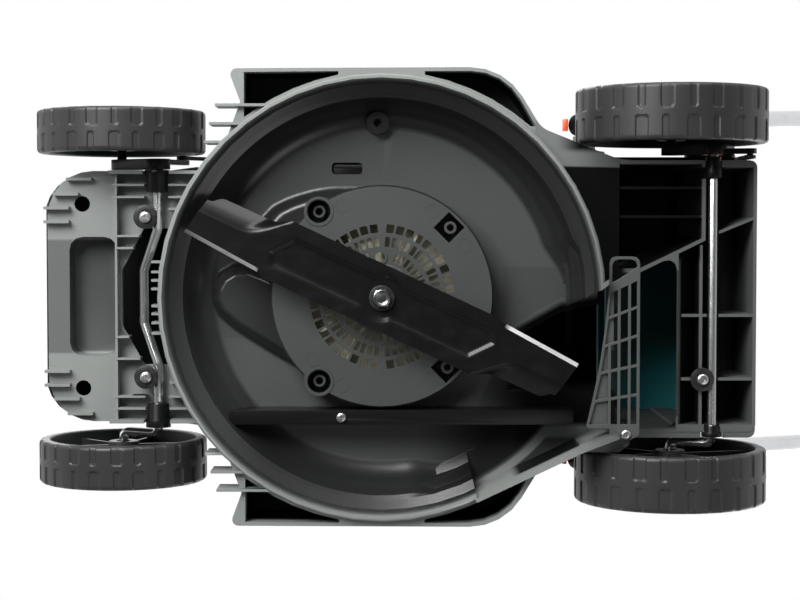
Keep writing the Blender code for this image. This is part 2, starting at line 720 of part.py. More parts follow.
fuse(deck, "lip corner right", prism(lip_corner_right, TAIL_BOTTOM + 0.1, TAIL_BOTTOM + 2.9))
fuse(deck, "lip corner left", prism(lip_corner_left, TAIL_BOTTOM + 0.1, TAIL_BOTTOM + 2.9))
RIB = 2.4


def floor_rib(x0, y0, x1, y1):
    """Upright rib under the sloping duct floor or in a pocket."""
    way = Vector((x1 - x0, y1 - y0)).normalized()
    side = Vector((-way.y, way.x)) * RIB / 2
    loop = [(x0 + side.x, y0 + side.y), (x1 + side.x, y1 + side.y),
            (x1 - side.x, y1 - side.y), (x0 - side.x, y0 - side.y)]
    return prism(loop, TAIL_BOTTOM + 0.4, TAIL_BOTTOM + 4.0,
                 top=lambda x, y: duct_floor(x) + 1.5)


fuse(deck, "ribs along", floor_rib(LIP_X + 4.0, 16.0, TAIL_END - 1.5, 16.0),
     floor_rib(LIP_X + 4.0, 69.5, TAIL_END - 1.5, 69.5),
     floor_rib(281.0, -53.2, TAIL_END - 1.5, -66.0))
fuse(deck, "rib across", floor_rib(267.5, -43.0, 267.5, 110.0))
fuse(deck, "tail bottom flange", prism(
    rounded([(206.0, TAIL_HALF - 2.0), (206.0, FLANGE_OUT),
             (TAIL_END - 0.4, FLANGE_OUT, TAIL_CORNER), (TAIL_END - 0.4, 107.0),
             (TAIL_END - 1.6, 107.0), (TAIL_END - 1.6, TAIL_HALF - 2.0)], 3),
    TAIL_BOTTOM + 0.4, TAIL_BOTTOM + 2.6))
fuse(deck, "pocket ribs", box(196.0, 269.5, -68.0, -65.8, TAIL_BOTTOM + 0.6, 120.0),
     box(196.0, 269.5, -92.0, -89.8, TAIL_BOTTOM + 0.6, 120.0))
prongs = []
for y, x in ((127.0, -143.9), (142.0, -139.8), (157.0, -135.0)):
    for sign in (-1.0, 1.0):
        back = -math.sqrt(181.0 ** 2 - y ** 2)
        prongs.append(box(x, back, sign * y - 1.1, sign * y + 1.1, 16.0, 45.0))
fuse(deck, "comb prongs", *prongs)
fuse(deck, "flange", prism(
    [(163.0, 122.0), (163.0, 127.3), (196.0, 127.3), (204.0, 121.0), (204.0, 100.0),
     (199.6, 100.0), (199.6, 111.5)], 30.0, 33.0))
fuse(deck, "flange web", prism(
    [(163.5, 121.5), (163.5, 126.8), (203.0, 111.0), (203.0, 108.0), (198.0, 108.0)],
    32.0, DECK_TOP - 2.0))
teeth = [box(-188.4, -176.5, y - 1.0, y + 1.0, 24.0, 44.0)
         for y in (-29.5, -21.3, -14.4, -7.4, 6.5, 13.0, 20.4, 29.0)]
fuse(deck, "front teeth", *teeth)
RIB_BOTTOM = 46.2
BAY_RIB = 1.8
bay_ribs = []
for y, low, high in ((83.0, -224.0, -197.0), (93.0, -224.0, -197.0), (83.0, -177.0, -161.0),
                     (93.0, -177.0, -155.0)):
    for sign in (-1.0, 1.0):
        bay_ribs.append(box(low, high, sign * y - BAY_RIB / 2, sign * y + BAY_RIB / 2,
                            RIB_BOTTOM, APRON_BOTTOM + 1.0))
for y in (-73.0, 71.3):
    bay_ribs.append(box(-177.0, -165.0, y - BAY_RIB / 2,
                        y + BAY_RIB / 2, RIB_BOTTOM, APRON_BOTTOM + 1.0))
for y in (-50.7, -40.7, 33.2, 51.4):
    bay_ribs.append(box(-221.0, -217.0 + 17.0 * (abs(y) - 20.0) / 34.0, y - BAY_RIB / 2,
                        y + BAY_RIB / 2, RIB_BOTTOM, APRON_BOTTOM + 1.0))
fuse(deck, "bay ribs", *bay_ribs)
fuse(deck, "bay front rib",
     box(-221.7, -219.9, -103.0, 103.0, RIB_BOTTOM + 0.6, APRON_BOTTOM + 1.0))
fins = []
for y in (62.5, 74.0, 85.5, 98.0):
    for sign in (-1.0, 1.0):
        nose = APRON_NOSE + (1.0 if y < 80 else 9.0 if y < 90 else 20.0)
        fins.append(box(nose, nose + 21.0, sign * y - 1.2, sign * y + 1.2, 52.0, 61.0))
fuse(deck, "nose fins", *fins)
fuse(deck, "front boss", lathe(
    [(3.5, 74.0), (9.5, 74.0), (10.0, CEILING + 1.0), (3.5, CEILING + 1.0)], 18,
    (-3.8, -146.0, 0.0)))

# Axle slots, screw bosses, holes
SLOT_GAP = 0.4
WASHER_R = 10.0
WASHER_THICK = 2.0
FRONT_SCREW = (FRONT_AXLE_X - 9.2, 66.5)
REAR_SCREW = (REAR_AXLE_X - 9.2, 69.5)
FRONT_WASHER_Z = FRONT_AXLE_Z - AXLE_R - 0.6 - WASHER_THICK
REAR_WASHER_Z = REAR_AXLE_Z - AXLE_R - 0.6 - WASHER_THICK
fuse(deck, "screw bosses", *[
    rod((FRONT_SCREW[0], sign * FRONT_SCREW[1], FRONT_WASHER_Z + WASHER_THICK + GAP),
        (FRONT_SCREW[0], sign * FRONT_SCREW[1], APRON_BOTTOM + 1.0), 4.4, steps=14)
    for sign in (-1.0, 1.0)],
    rod((REAR_SCREW[0], REAR_SCREW[1], REAR_WASHER_Z + WASHER_THICK + GAP),
        (REAR_SCREW[0], REAR_SCREW[1], 92.0), 4.4, steps=14))
cut(deck, "front axle slot",
    box(FRONT_AXLE_X - AXLE_R - 1.0, FRONT_AXLE_X + AXLE_R + 1.0, 58.0, 101.5,
        30.0, FRONT_AXLE_Z + AXLE_R + 1.0),
    box(FRONT_AXLE_X - AXLE_R - 1.0, FRONT_AXLE_X + AXLE_R + 1.0, -101.5, -58.0,
        30.0, FRONT_AXLE_Z + AXLE_R + 1.0),
    box(FRONT_AXLE_X - FRONT_BUSH_R - SLOT_GAP, FRONT_AXLE_X + FRONT_BUSH_R + SLOT_GAP,
        101.7, 108.0, 30.0, FRONT_AXLE_Z + FRONT_BUSH_R + SLOT_GAP),
    box(FRONT_AXLE_X - FRONT_BUSH_R - SLOT_GAP, FRONT_AXLE_X + FRONT_BUSH_R + SLOT_GAP,
        -108.0, -101.7, 30.0, FRONT_AXLE_Z + FRONT_BUSH_R + SLOT_GAP))
REAR_SLOT = AXLE_R + 1.0
REAR_ROOM = REAR_BUSH_R + SLOT_GAP
FLANGE_ROOM = REAR_BUSH_R + 3.0
cut(deck, "rear axle slot", box(
    REAR_AXLE_X - REAR_SLOT, REAR_AXLE_X + REAR_SLOT, -108.0, 108.0, 50.0,
    REAR_AXLE_Z + REAR_SLOT))
cut(deck, "bush flange room", box(
    REAR_AXLE_X - FLANGE_ROOM, REAR_AXLE_X + FLANGE_ROOM, -108.2, -98.5, 50.2,
    REAR_AXLE_Z + FLANGE_ROOM))
cut(deck, "flange notch", box(
    REAR_AXLE_X - FLANGE_ROOM, REAR_AXLE_X + FLANGE_ROOM, TAIL_HALF + 0.2, 122.0, 50.0,
    REAR_AXLE_Z + FLANGE_ROOM))
for label, sign in (("left", -1.0), ("right", 1.0)):
    near, far = sorted((sign * 107.0, sign * 120.0))
    cut(deck, "bush room " + label, box(
        REAR_AXLE_X - REAR_ROOM, REAR_AXLE_X + REAR_ROOM, near, far, 50.4,
        REAR_AXLE_Z + REAR_ROOM))
WELL_SPOTS = ((-52.7, -71.1), (-52.7, 71.1))
cut(deck, "well room", *[
    rod((x, y, 50.0), (x, y, 73.0), 13.4, steps=20) for x, y in WELL_SPOTS])
cut(deck, "screw holes", *[
    rod((FRONT_SCREW[0], sign * FRONT_SCREW[1], 40.0),
        (FRONT_SCREW[0], sign * FRONT_SCREW[1], 58.0), 2.3, steps=10)
    for sign in (-1.0, 1.0)],
    rod((REAR_SCREW[0], REAR_SCREW[1], 50.0), (REAR_SCREW[0], REAR_SCREW[1], 70.0),
        2.3, steps=10))
cut(deck, "oblong hole", prism(
    rounded([(-43.0, -113.0, 3.0), (-17.0, -113.0, 3.0), (-17.0, -103.0, 3.0),
             (-43.0, -103.0, 3.0)], 3), 80.0, 95.0),
    rod((-3.8, -146.0, 70.0), (-3.8, -146.0, 95.0), 3.5, steps=12))

# Seats for the flap pin and the height lever
LUG_Y = 109.0
PIN_FLAP_R = 2.0
for side, sign in (("left", -1.0), ("right", 1.0)):
    inner, outer = sorted((sign * LUG_Y, sign * (TAIL_HALF - 0.4)))
    fuse(deck, "flap lug " + side, prism(
        rounded([(200.0, 248.0), (212.0, 243.0), (213.0, 266.0, 5.5), (200.5, 266.0, 5.5)], 3),
        inner, outer, "Y"))
cut(deck, "flap pin hole", rod(
    (FLAP_AXIS[0], -120.0, FLAP_AXIS[1]), (FLAP_AXIS[0], 120.0, FLAP_AXIS[1]),
    PIN_FLAP_R + 0.15, steps=12))
fuse(deck, "lever boss", rod(
    (REAR_AXLE_X, -112.0, LEVER_PIVOT_Z), (REAR_AXLE_X, -118.6, LEVER_PIVOT_Z), 8.0, steps=20))
fuse(deck, "lever pin", rod(
    (REAR_AXLE_X, -117.0, LEVER_PIVOT_Z), (REAR_AXLE_X, -124.5, LEVER_PIVOT_Z), 3.8, steps=14))


# Motor, blade and the parts of the chamber
slots = []
for inner, outer, width in ((30.4, 38.1, 4.2), (41.8, 50.2, 5.6), (53.6, 60.7, 6.8)):
    for index in range(VENT_SLOTS):
        angle = 2 * math.pi * (index + 0.5) / VENT_SLOTS
        if inner < 35.0 and abs(math.degrees(angle) - 267.0) < 14.0:
            continue
        way = Vector((math.cos(angle), math.sin(angle)))
        side = Vector((-way.y, way.x)) * width / 2
        slots.append([tuple(way * inner + side), tuple(way * inner - side),
                      tuple(way * outer - side), tuple(way * outer + side)])
WINDOWS = ((56.0, -57.7), (53.6, 59.4))
WINDOW = 18.4
for x, y in WINDOWS:
    slots.append([(x + WINDOW / 2 * 1.414 * math.cos(math.radians(a)),
                   y + WINDOW / 2 * 1.414 * math.sin(math.radians(a)))
                  for a in (0, 90, 180, 270)])
slots.append(ring((-1.7, -33.0), 4.2, 10))
slots.append(ring((0.0, 0.0), 24.5, 32))
plate = add("motor_plate", prism(
    ring((0.0, 0.0), PLATE_R, 48), PLATE_Z, PLATE_Z + WALL, holes=slots),
    "grey plastic", "mower")
WELL_OUTER = 12.5
WELL_BORE = 10.0
for index, (x, y) in enumerate(WELL_SPOTS):
    fuse(plate, "well %d" % (index + 1), lathe([
        (0.0, PLATE_Z + 0.1), (WELL_OUTER, PLATE_Z + 0.1), (WELL_OUTER, 72.0), (0.0, 72.0)], 20,
        (x, y, 0.0)))
    cut(plate, "well bore %d" % (index + 1), lathe([
        (0.0, 50.0), (WELL_BORE, 50.0), (WELL_BORE, 69.5), (4.4, 69.5), (4.4, 60.0),
        (0.0, 60.0)], 20, (x, y, 0.0)))

add("motor_bracket", lathe([
    (11.4, DECK_TOP - 3.5), (60.5, DECK_TOP - 3.5), (60.5, DECK_TOP + GAP),
    (68.0, DECK_TOP + GAP), (68.0, DECK_TOP + 3.0), (11.4, DECK_TOP + 3.0)], 24),
    "cast aluminium", "mower")
CAN_BOTTOM = DECK_TOP + 3.3
add("motor_can", lathe([
    (CAN_R - 2.2, CAN_BOTTOM), (CAN_R, CAN_BOTTOM), (CAN_R, MOTOR_TOP + 1.0),
    (CAN_R - 3.0, MOTOR_TOP + 4.0), (20.0, MOTOR_TOP + 4.0), (14.0, MOTOR_TOP + 8.0),
    (11.4, MOTOR_TOP + 8.0), (11.4, MOTOR_TOP - 0.5), (16.0, MOTOR_TOP - 0.5),
    (CAN_R - 2.2, MOTOR_TOP - 0.5)], 20), "motor steel", "mower")
add("stator_core", lathe([
    (34.5, 102.0), (CAN_R - 2.5, 102.0), (CAN_R - 2.5, 150.0), (34.5, 150.0)], 20),
    "motor steel", "mower")
add("stator_winding", lathe([
    (31.0, 94.0), (42.0, 94.0), (45.0, 97.0), (45.0, 101.6), (34.2, 101.6), (34.2, 150.4),
    (45.0, 150.4), (45.0, 155.0), (42.0, 158.0), (31.0, 158.0)], 20),
    "copper wire", "mower")
BEARING_R = 11.2
add("lower_bearing", lathe([
    (SHAFT_R + RUN_GAP, DECK_TOP - 3.3), (BEARING_R, DECK_TOP - 3.3),
    (BEARING_R, DECK_TOP + 2.8), (SHAFT_R + RUN_GAP, DECK_TOP + 2.8)], 24),
    "bright steel", "mower")
add("upper_bearing", lathe([
    (SHAFT_R + RUN_GAP, MOTOR_TOP - 0.3), (BEARING_R, MOTOR_TOP - 0.3),
    (BEARING_R, MOTOR_TOP + 6.5), (SHAFT_R + RUN_GAP, MOTOR_TOP + 6.5)], 24),
    "bright steel", "mower")

SHAFT_TOP = MOTOR_TOP + 6.0
BOLT_R = 4.0
HUB_R = 22.0
HUB_BOTTOM = BLADE_TOP + GAP
HUB_TOP = 52.0
add("motor_shaft", lathe([
    (0.0, 40.0), (SHAFT_R - 0.6, 40.0), (SHAFT_R, 40.6), (SHAFT_R, SHAFT_TOP - 0.6),
    (SHAFT_R - 0.6, SHAFT_TOP), (0.0, SHAFT_TOP)], 20), "bright steel", "spindle_body")
add("rotor_core", lathe([
    (SHAFT_R + 0.15, 102.0), (28.0, 102.0), (28.0, 150.0), (SHAFT_R + 0.15, 150.0)], 28),
    "motor steel", "spindle_body")
add("blade_hub", lathe([
    (BOLT_R + 0.3, HUB_BOTTOM), (HUB_R, HUB_BOTTOM), (HUB_R, HUB_BOTTOM + 5.0),
    (14.0, HUB_BOTTOM + 9.0), (12.5, HUB_TOP), (SHAFT_R + 0.15, HUB_TOP),
    (SHAFT_R + 0.15, 39.6), (BOLT_R + 0.3, 39.6)], 24), "cast aluminium", "spindle_body")
FAN_BOTTOM = 62.0
FAN_TOP = 79.5
fan = add("cooling_fan", lathe([
    (SHAFT_R + 0.15, FAN_BOTTOM), (12.0, FAN_BOTTOM), (13.0, FAN_TOP - 3.0),
    (FAN_R, FAN_TOP - 3.0), (FAN_R, FAN_TOP), (SHAFT_R + 0.15, FAN_TOP)], 32),
    "cream plastic", "spindle_body")
FAN_BLADES = 12
vanes = []
for index in range(FAN_BLADES):
    vane = box(24.0, FAN_R - 1.5, -0.9, 0.9, FAN_BOTTOM + 1.0, FAN_TOP - 1.5)
    vanes.append(turned(vane, Matrix.Rotation(2 * math.pi * index / FAN_BLADES, 4, "Z")))
fuse(fan, "vanes", *vanes)

# The blade is a flat bar; beyond the wing root each end is narrower, with a ground
# cutting edge on one side and a wing turned up on the other.
HALF = BLADE_LENGTH / 2
HALF_WIDTH = BLADE_WIDTH / 2
stations = ((-1.0, 0.76, 0.46, WING_RISE - 0.5, GRIND_DEPTH),
            (-0.965, 0.77, 0.64, WING_RISE, GRIND_DEPTH),
            (-0.66, 0.91, 0.66, WING_RISE - 1.5, GRIND_DEPTH),
            (-0.56, 0.95, 0.95, 0.0, 0.01), (-0.51, 1.0, 1.0, 0.0, 0.01))
stations = stations + tuple((-row[0], *row[1:]) for row in stations[::-1])
blade_rings = []
for at, edge, rear, wing, ground in stations:
    x = at * HALF
    lead = 1.0 if at < 0 else -1.0
    line = [(x, lead * edge * HALF_WIDTH, BLADE_Z + ground),
            (x, lead * (edge * HALF_WIDTH - GRIND_WIDTH), BLADE_Z),
            (x, 0.0, BLADE_Z),
            (x, -lead * rear * HALF_WIDTH, BLADE_Z + wing)]
    if lead > 0:
        line = line[::-1]
    over = [(px, py, BLADE_Z + BLADE_THICK + (pz - BLADE_Z if py * lead < -1.0 else 0.0))
            for px, py, pz in line]
    blade_rings.append(line + over[::-1])
blade_mesh = turned(loft(blade_rings),
                    Matrix.Rotation(math.radians(BLADE_TURN), 4, "Z"))
blade = add("cutting_blade", blade_mesh, "black steel", "spindle_body")
cut(blade, "bolt hole", rod((0, 0, 15), (0, 0, 40), BOLT_R + 0.3, steps=16))
WASHER_LOW = BLADE_Z - 3.1
add("blade_washer", lathe([
    (BOLT_R + 0.3, WASHER_LOW), (10.5, WASHER_LOW), (10.5, BLADE_Z - GAP),
    (BOLT_R + 0.3, BLADE_Z - GAP)], 24), "black steel", "spindle_body")
HEAD_HEIGHT = 5.5
bolt = add("blade_bolt", rod(
    (0, 0, WASHER_LOW - GAP - HEAD_HEIGHT), (0, 0, WASHER_LOW - GAP), 7.5, steps=6,
    turn=0.4), "bright steel", "spindle_body")
fuse(bolt, "shank", rod((0, 0, WASHER_LOW - 3.0), (0, 0, 39.0), BOLT_R, steps=16))

# The black insert hangs from the chamber ceiling and steers the clippings.
volute = add("volute_insert", prism([
    (-128.0, 52.0), (160.0, 52.0), (160.0, CEILING - GAP), (-100.5, CEILING - GAP),
    (-116.0, 80.0), (-121.5, 64.5), (-126.5, 60.0)], 95.0, 107.0, "Y"),
    "black plastic", "mower")
cut(volute, "hollow", prism([
    (-118.0, 55.0), (157.0, 55.0), (157.0, 95.0), (-96.0, 95.0), (-96.0, 82.0),
    (-112.0, 76.0)], 97.4, 104.6, "Y"))
VOLUTE_SCREW = (-34.2, 101.0)
fuse(volute, "screw seat", rod(
    (VOLUTE_SCREW[0], VOLUTE_SCREW[1], 53.0), (VOLUTE_SCREW[0], VOLUTE_SCREW[1], 70.0),
    4.6, steps=14))
cut(volute, "screw hole", rod(
    (VOLUTE_SCREW[0], VOLUTE_SCREW[1], 45.0), (VOLUTE_SCREW[0], VOLUTE_SCREW[1], 66.0),
    2.2, steps=12))

GRILLE_Z = 26.7
GRILLE_THICK = 3.0
GRILLE_SCREW = (200.5, 112.4)
GRILLE_RIGHT = 211.8
GRILLE_SLANTS = (0.43, 0.43, 0.33, 0.22, 0.13, 0.0)
GRILLE_BAR = 0.8
grille_left = [(-11.0, 186.2), (13.0, 185.2), (55.2, 178.8), (84.5, 172.4), (106.5, 168.0)]
grille_edge = rounded([
    (186.2, -34.0, 8.0), (GRILLE_RIGHT, -34.0, 8.0), (GRILLE_RIGHT, 106.5), (206.5, 106.5),
    (206.5, 118.0, 4.0), (194.5, 118.0, 4.0), (194.5, 106.5)] + [
        (x, y) for y, x in reversed(grille_left)], 3)


def left_of(y):
    """Left edge of the grille at a given y."""
    for (y0, x0), (y1, x1) in zip(grille_left, grille_left[1:]):
        if y <= y1:
            return x0 + (x1 - x0) * (y - y0) / (y1 - y0)
    return grille_left[-1][1]


def bar_y(row, x):
    """Middle line of a slanting cross bar."""
    return -14.5 + 23.8 * row + (GRILLE_RIGHT - x) * GRILLE_SLANTS[row]


windows = [rounded([(188.0, -32.0, 6.0), (GRILLE_RIGHT - 1.8, -32.0, 6.0),
                    (GRILLE_RIGHT - 1.8, -15.0), (188.0, -6.0)], 2)]
for row in range(5):
    rights = [GRILLE_RIGHT - 1.8, 203.2 - GRILLE_BAR, 194.4 - GRILLE_BAR]
    lefts = [203.2 + GRILLE_BAR, 194.4 + GRILLE_BAR]
    if row > 1:
        rights.append(186.7 - GRILLE_BAR)
        lefts.append(186.7 + GRILLE_BAR)
    lefts.append(0.0)
    for low_x, high_x in zip(lefts, rights):
        corners = [(high_x, bar_y(row, high_x) + GRILLE_BAR),
                   (high_x, bar_y(row + 1, high_x) - GRILLE_BAR)]
        for edge, side in ((row + 1, -GRILLE_BAR), (row, GRILLE_BAR)):
            x = low_x or left_of(bar_y(edge, high_x - 5.0)) + 1.8
            corners.append((x, bar_y(edge, x) + side))
        windows.append(corners)
windows.append(ring(GRILLE_SCREW, 2.2, 12))
grille = add("discharge_grille", prism(
    grille_edge, GRILLE_Z, GRILLE_Z + GRILLE_THICK, holes=windows),
    "grey plastic", "mower")
cut(deck, "grille room", box(
    184.9, 214.0, -35.0, 107.0, 5.0, GRILLE_Z + GRILLE_THICK + GAP))
cut(deck, "grille tab room", box(
    194.0, 207.0, 105.0, 119.0, 4.0, GRILLE_Z + GRILLE_THICK + GAP - 0.02))
cut(deck, "grille screw hole", rod(
    (*GRILLE_SCREW, 25.0), (*GRILLE_SCREW, 45.0), 2.1, steps=12))


def screw(name, x, y, seat, depth, head, shank, carrier="mower"):
    """Pan head under a seat with its shank going up."""
    made = add(name, lathe([
        (0.0, seat - head * 0.62), (head * 0.6, seat - head * 0.62), (head, seat - head * 0.3),
        (head, seat), (shank, seat), (shank, seat + depth), (0.0, seat + depth)], 14,
        (x, y, 0.0)), "bright steel", carrier)
    cut(made, "drive", box(x - head * 0.6, x + head * 0.6, y - 0.5, y + 0.5,
                           seat - head, seat - head * 0.35))
    return made


screw("grille_screw", *GRILLE_SCREW, GRILLE_Z - GAP, 12.0, 4.2, 1.7)
screw("volute_screw", *VOLUTE_SCREW, 52.0 - GAP, 12.0, 4.2, 1.8)
for side, sign in (("left", -1.0), ("right", 1.0)):
    add("front_axle_washer_" + side, lathe([
        (2.3, FRONT_WASHER_Z), (WASHER_R, FRONT_WASHER_Z),
        (WASHER_R, FRONT_WASHER_Z + WASHER_THICK), (2.3, FRONT_WASHER_Z + WASHER_THICK)],
        24, (FRONT_SCREW[0], sign * FRONT_SCREW[1], 0.0)), "black steel", "mower")
    screw("front_axle_screw_" + side, FRONT_SCREW[0], sign * FRONT_SCREW[1],
          FRONT_WASHER_Z - GAP, 14.0, 5.0, 1.9)
add("rear_axle_washer", lathe([
    (2.3, REAR_WASHER_Z), (WASHER_R, REAR_WASHER_Z),
    (WASHER_R, REAR_WASHER_Z + WASHER_THICK), (2.3, REAR_WASHER_Z + WASHER_THICK)],
    24, (*REAR_SCREW, 0.0)), "black steel", "mower")
screw("rear_axle_screw", *REAR_SCREW, REAR_WASHER_Z - GAP, 14.0, 5.0, 1.9)
add("flap_pin", rod((FLAP_AXIS[0], -112.5, FLAP_AXIS[1]), (FLAP_AXIS[0], 112.5, FLAP_AXIS[1]),
                    PIN_FLAP_R, steps=12), "bright steel", "mower")


# Axles, arms, wheels and the height setting
def crank(x, z, reach, along=0.0):
    """Point on the crank line: reach from the axle, at the rest angle plus along."""
    angle = REST_ANGLE + along
    return (x - reach * math.cos(angle), z + reach * math.sin(angle))


FRONT_ARM_INNER = -106.0
FRONT_ARM_OUTER = -(LINK_INNER - GAP)
REAR_ARM_INNER = -(LINK_INNER + LINK_THICK + 1.0)
REAR_ARM_OUTER = -127.0
HUB_GAP = 3.0
FRONT_CRANK_Y = 114.4
REAR_CRANK_Y = 124.0
BEND_INNER = 22.5
BEND_OUTER = 56.0

bend_x, bend_z = crank(FRONT_AXLE_X, FRONT_AXLE_Z, AXLE_BEND)
tip_x, tip_z = crank(FRONT_AXLE_X, FRONT_AXLE_Z, CRANK_LENGTH)
FRONT_SPINDLE_END = FRONT_WHEEL_INNER + FRONT_WHEEL_WIDTH - 5.0
add("front_axle_rod", pipe([
    (FRONT_AXLE_X, -114.4, FRONT_AXLE_Z), (FRONT_AXLE_X, -BEND_OUTER, FRONT_AXLE_Z),
    (bend_x, -BEND_INNER, bend_z), (bend_x, BEND_INNER, bend_z),
    (FRONT_AXLE_X, BEND_OUTER, FRONT_AXLE_Z), (FRONT_AXLE_X, FRONT_CRANK_Y, FRONT_AXLE_Z),
    (tip_x, FRONT_CRANK_Y, tip_z), (tip_x, FRONT_SPINDLE_END, tip_z)], AXLE_R, 6.0, 2, 3),
    "chromed steel", "front_axle_body")
tip_x, tip_z = crank(REAR_AXLE_X, REAR_AXLE_Z, CRANK_LENGTH)
REAR_SPINDLE_END = REAR_WHEEL_INNER + REAR_WHEEL_WIDTH - 6.0
add("rear_axle_rod", pipe([
    (REAR_AXLE_X, -126.6, REAR_AXLE_Z), (REAR_AXLE_X, REAR_CRANK_Y, REAR_AXLE_Z),
    (tip_x, REAR_CRANK_Y, tip_z), (tip_x, REAR_SPINDLE_END, tip_z)], AXLE_R, 6.0, 2, 3),
    "chromed steel", "rear_axle_body")


def arm(name, axle, horn_pin, inner, outer, spindle_end, carrier, fork_pin=None):
    """Crank arm with the wheel stub, the link pin and, at the rear, the rod pin."""
    ax, az = axle
    sx, sz = crank(ax, az, CRANK_LENGTH)
    made = add(name, prism(band([(ax, az), (sx, sz)], 9.0), outer, inner, "Y"),
               "black plastic", carrier)
    fuse(made, "axle boss", rod((ax, outer + 0.1, az), (ax, inner - 0.1, az), 11.0, steps=20))
    fuse(made, "horn", prism(band([(ax, az), horn_pin], 5.5), outer + 0.2, outer + 4.2, "Y"))
    if fork_pin:
        fuse(made, "fork", prism(
            band([(ax, az), fork_pin], 5.5), outer + 3.5, inner - 0.2, "Y"))
    fuse(made, "stub", rod((sx, inner - 1.0, sz), (sx, -spindle_end, sz), AXLE_R, steps=16))
    cut(made, "axle bore", rod((ax, outer - 5.0, az), (ax, inner + 5.0, az),
                               AXLE_R + 0.2, steps=16))
    return made


front_arm = arm("front_axle_arm", (FRONT_AXLE_X, FRONT_AXLE_Z), FRONT_PIN,
                FRONT_ARM_INNER, FRONT_ARM_OUTER, FRONT_SPINDLE_END, "front_axle_body")
fuse(front_arm, "link pin", rod(
    (FRONT_PIN[0], FRONT_ARM_OUTER + 2.0, FRONT_PIN[1]),
    (FRONT_PIN[0], -(LINK_INNER + LINK_THICK + 0.6), FRONT_PIN[1]), PIN_R, steps=12))
rear_arm = arm("rear_axle_arm", (REAR_AXLE_X, REAR_AXLE_Z), REAR_PIN,
               REAR_ARM_INNER, REAR_ARM_OUTER, REAR_SPINDLE_END, "rear_axle_body", FORK_PIN)
fuse(rear_arm, "horn to link", rod(
    (REAR_PIN[0], REAR_ARM_OUTER + 1.0, REAR_PIN[1]), (REAR_PIN[0], REAR_ARM_INNER, REAR_PIN[1]),
    5.2, steps=16))
fuse(rear_arm, "link pin", rod(
    (REAR_PIN[0], REAR_ARM_INNER - 2.0, REAR_PIN[1]), (REAR_PIN[0], -(LINK_INNER - 0.4), REAR_PIN[1]),
    PIN_R, steps=12))
fuse(rear_arm, "rod pin", rod(
    (FORK_PIN[0], REAR_ARM_INNER - 2.0, FORK_PIN[1]), (FORK_PIN[0], -(LINK_INNER - 0.4), FORK_PIN[1]),
    PIN_R, steps=12))

LINK_HALF = 4.0
link_line = [FRONT_PIN, (FRONT_PIN[0] + 17.0, LINK_RISE), (REAR_PIN[0] - 32.0, LINK_RISE),
             REAR_PIN]
link = add("height_link", prism(
    band(link_line, LINK_HALF), -(LINK_INNER + LINK_THICK), -LINK_INNER, "Y"),
    "black steel", "height_link_body")
for label, pin in (("front eye", FRONT_PIN), ("rear eye", REAR_PIN)):
    fuse(link, label, rod((pin[0], -(LINK_INNER + LINK_THICK) + 0.1, pin[1]),
                          (pin[0], -LINK_INNER - 0.1, pin[1]), 5.4, steps=16))
    cut(link, label + " hole", rod((pin[0], -130.0, pin[1]), (pin[0], -110.0, pin[1]),
                                   PIN_R + RUN_GAP, steps=14))
adjuster = add("adjuster_rod", prism(
    band([FORK_PIN, LEVER_PIN], LINK_HALF - 0.4), -(LINK_INNER + LINK_THICK), -LINK_INNER, "Y"),
    "black steel", "adjuster_rod_body")
for label, pin in (("low eye", FORK_PIN), ("high eye", LEVER_PIN)):
    fuse(adjuster, label, rod((pin[0], -(LINK_INNER + LINK_THICK) + 0.1, pin[1]),
                              (pin[0], -LINK_INNER - 0.1, pin[1]), 4.9, steps=16))
    cut(adjuster, label + " hole", rod((pin[0], -130.0, pin[1]), (pin[0], -110.0, pin[1]),
                                       PIN_R + RUN_GAP, steps=14))

LEVER_INNER = -(LINK_INNER + LINK_THICK + 1.0)
LEVER_OUTER = LEVER_INNER - 3.2
knob_x = REAR_AXLE_X + LEVER_LENGTH * math.sin(math.radians(LEVER_LEAN))
knob_z = LEVER_PIVOT_Z + LEVER_LENGTH * math.cos(math.radians(LEVER_LEAN))
lever = add("height_lever", prism(
    band([LEVER_PIN, (REAR_AXLE_X, LEVER_PIVOT_Z), (knob_x, knob_z)], 6.0),
    LEVER_OUTER, LEVER_INNER, "Y"), "black steel", "height_lever_body")
fuse(lever, "eye", rod((REAR_AXLE_X, LEVER_OUTER + 0.1, LEVER_PIVOT_Z),
                       (REAR_AXLE_X, LEVER_INNER - 0.1, LEVER_PIVOT_Z), 9.0, steps=20))
cut(lever, "hole", rod((REAR_AXLE_X, -130.0, LEVER_PIVOT_Z), (REAR_AXLE_X, -110.0, LEVER_PIVOT_Z),
                       4.1, steps=16))
fuse(lever, "rod pin", rod((LEVER_PIN[0], LEVER_INNER - 2.0, LEVER_PIN[1]),
                           (LEVER_PIN[0], -(LINK_INNER - 0.4), LEVER_PIN[1]), PIN_R, steps=12))
KNOB_R = 9.0
knob = add("lever_knob", rod(
    (knob_x, -117.0, knob_z), (knob_x, -138.0, knob_z), KNOB_R, KNOB_R - 1.5, steps=20),
    "orange plastic", "height_lever_body")
lever_way = Vector((math.sin(math.radians(LEVER_LEAN)), 0.0, math.cos(math.radians(LEVER_LEAN))))
slot_low = Vector((knob_x, 0.0, knob_z)) - lever_way * 20.0
slot_high = Vector((knob_x, 0.0, knob_z)) + lever_way * 6.6
cut(knob, "lever slot", prism(
    band([(slot_low.x, slot_low.z), (slot_high.x, slot_high.z)], 6.3),
    LEVER_OUTER - GAP, LEVER_INNER + GAP, "Y"))

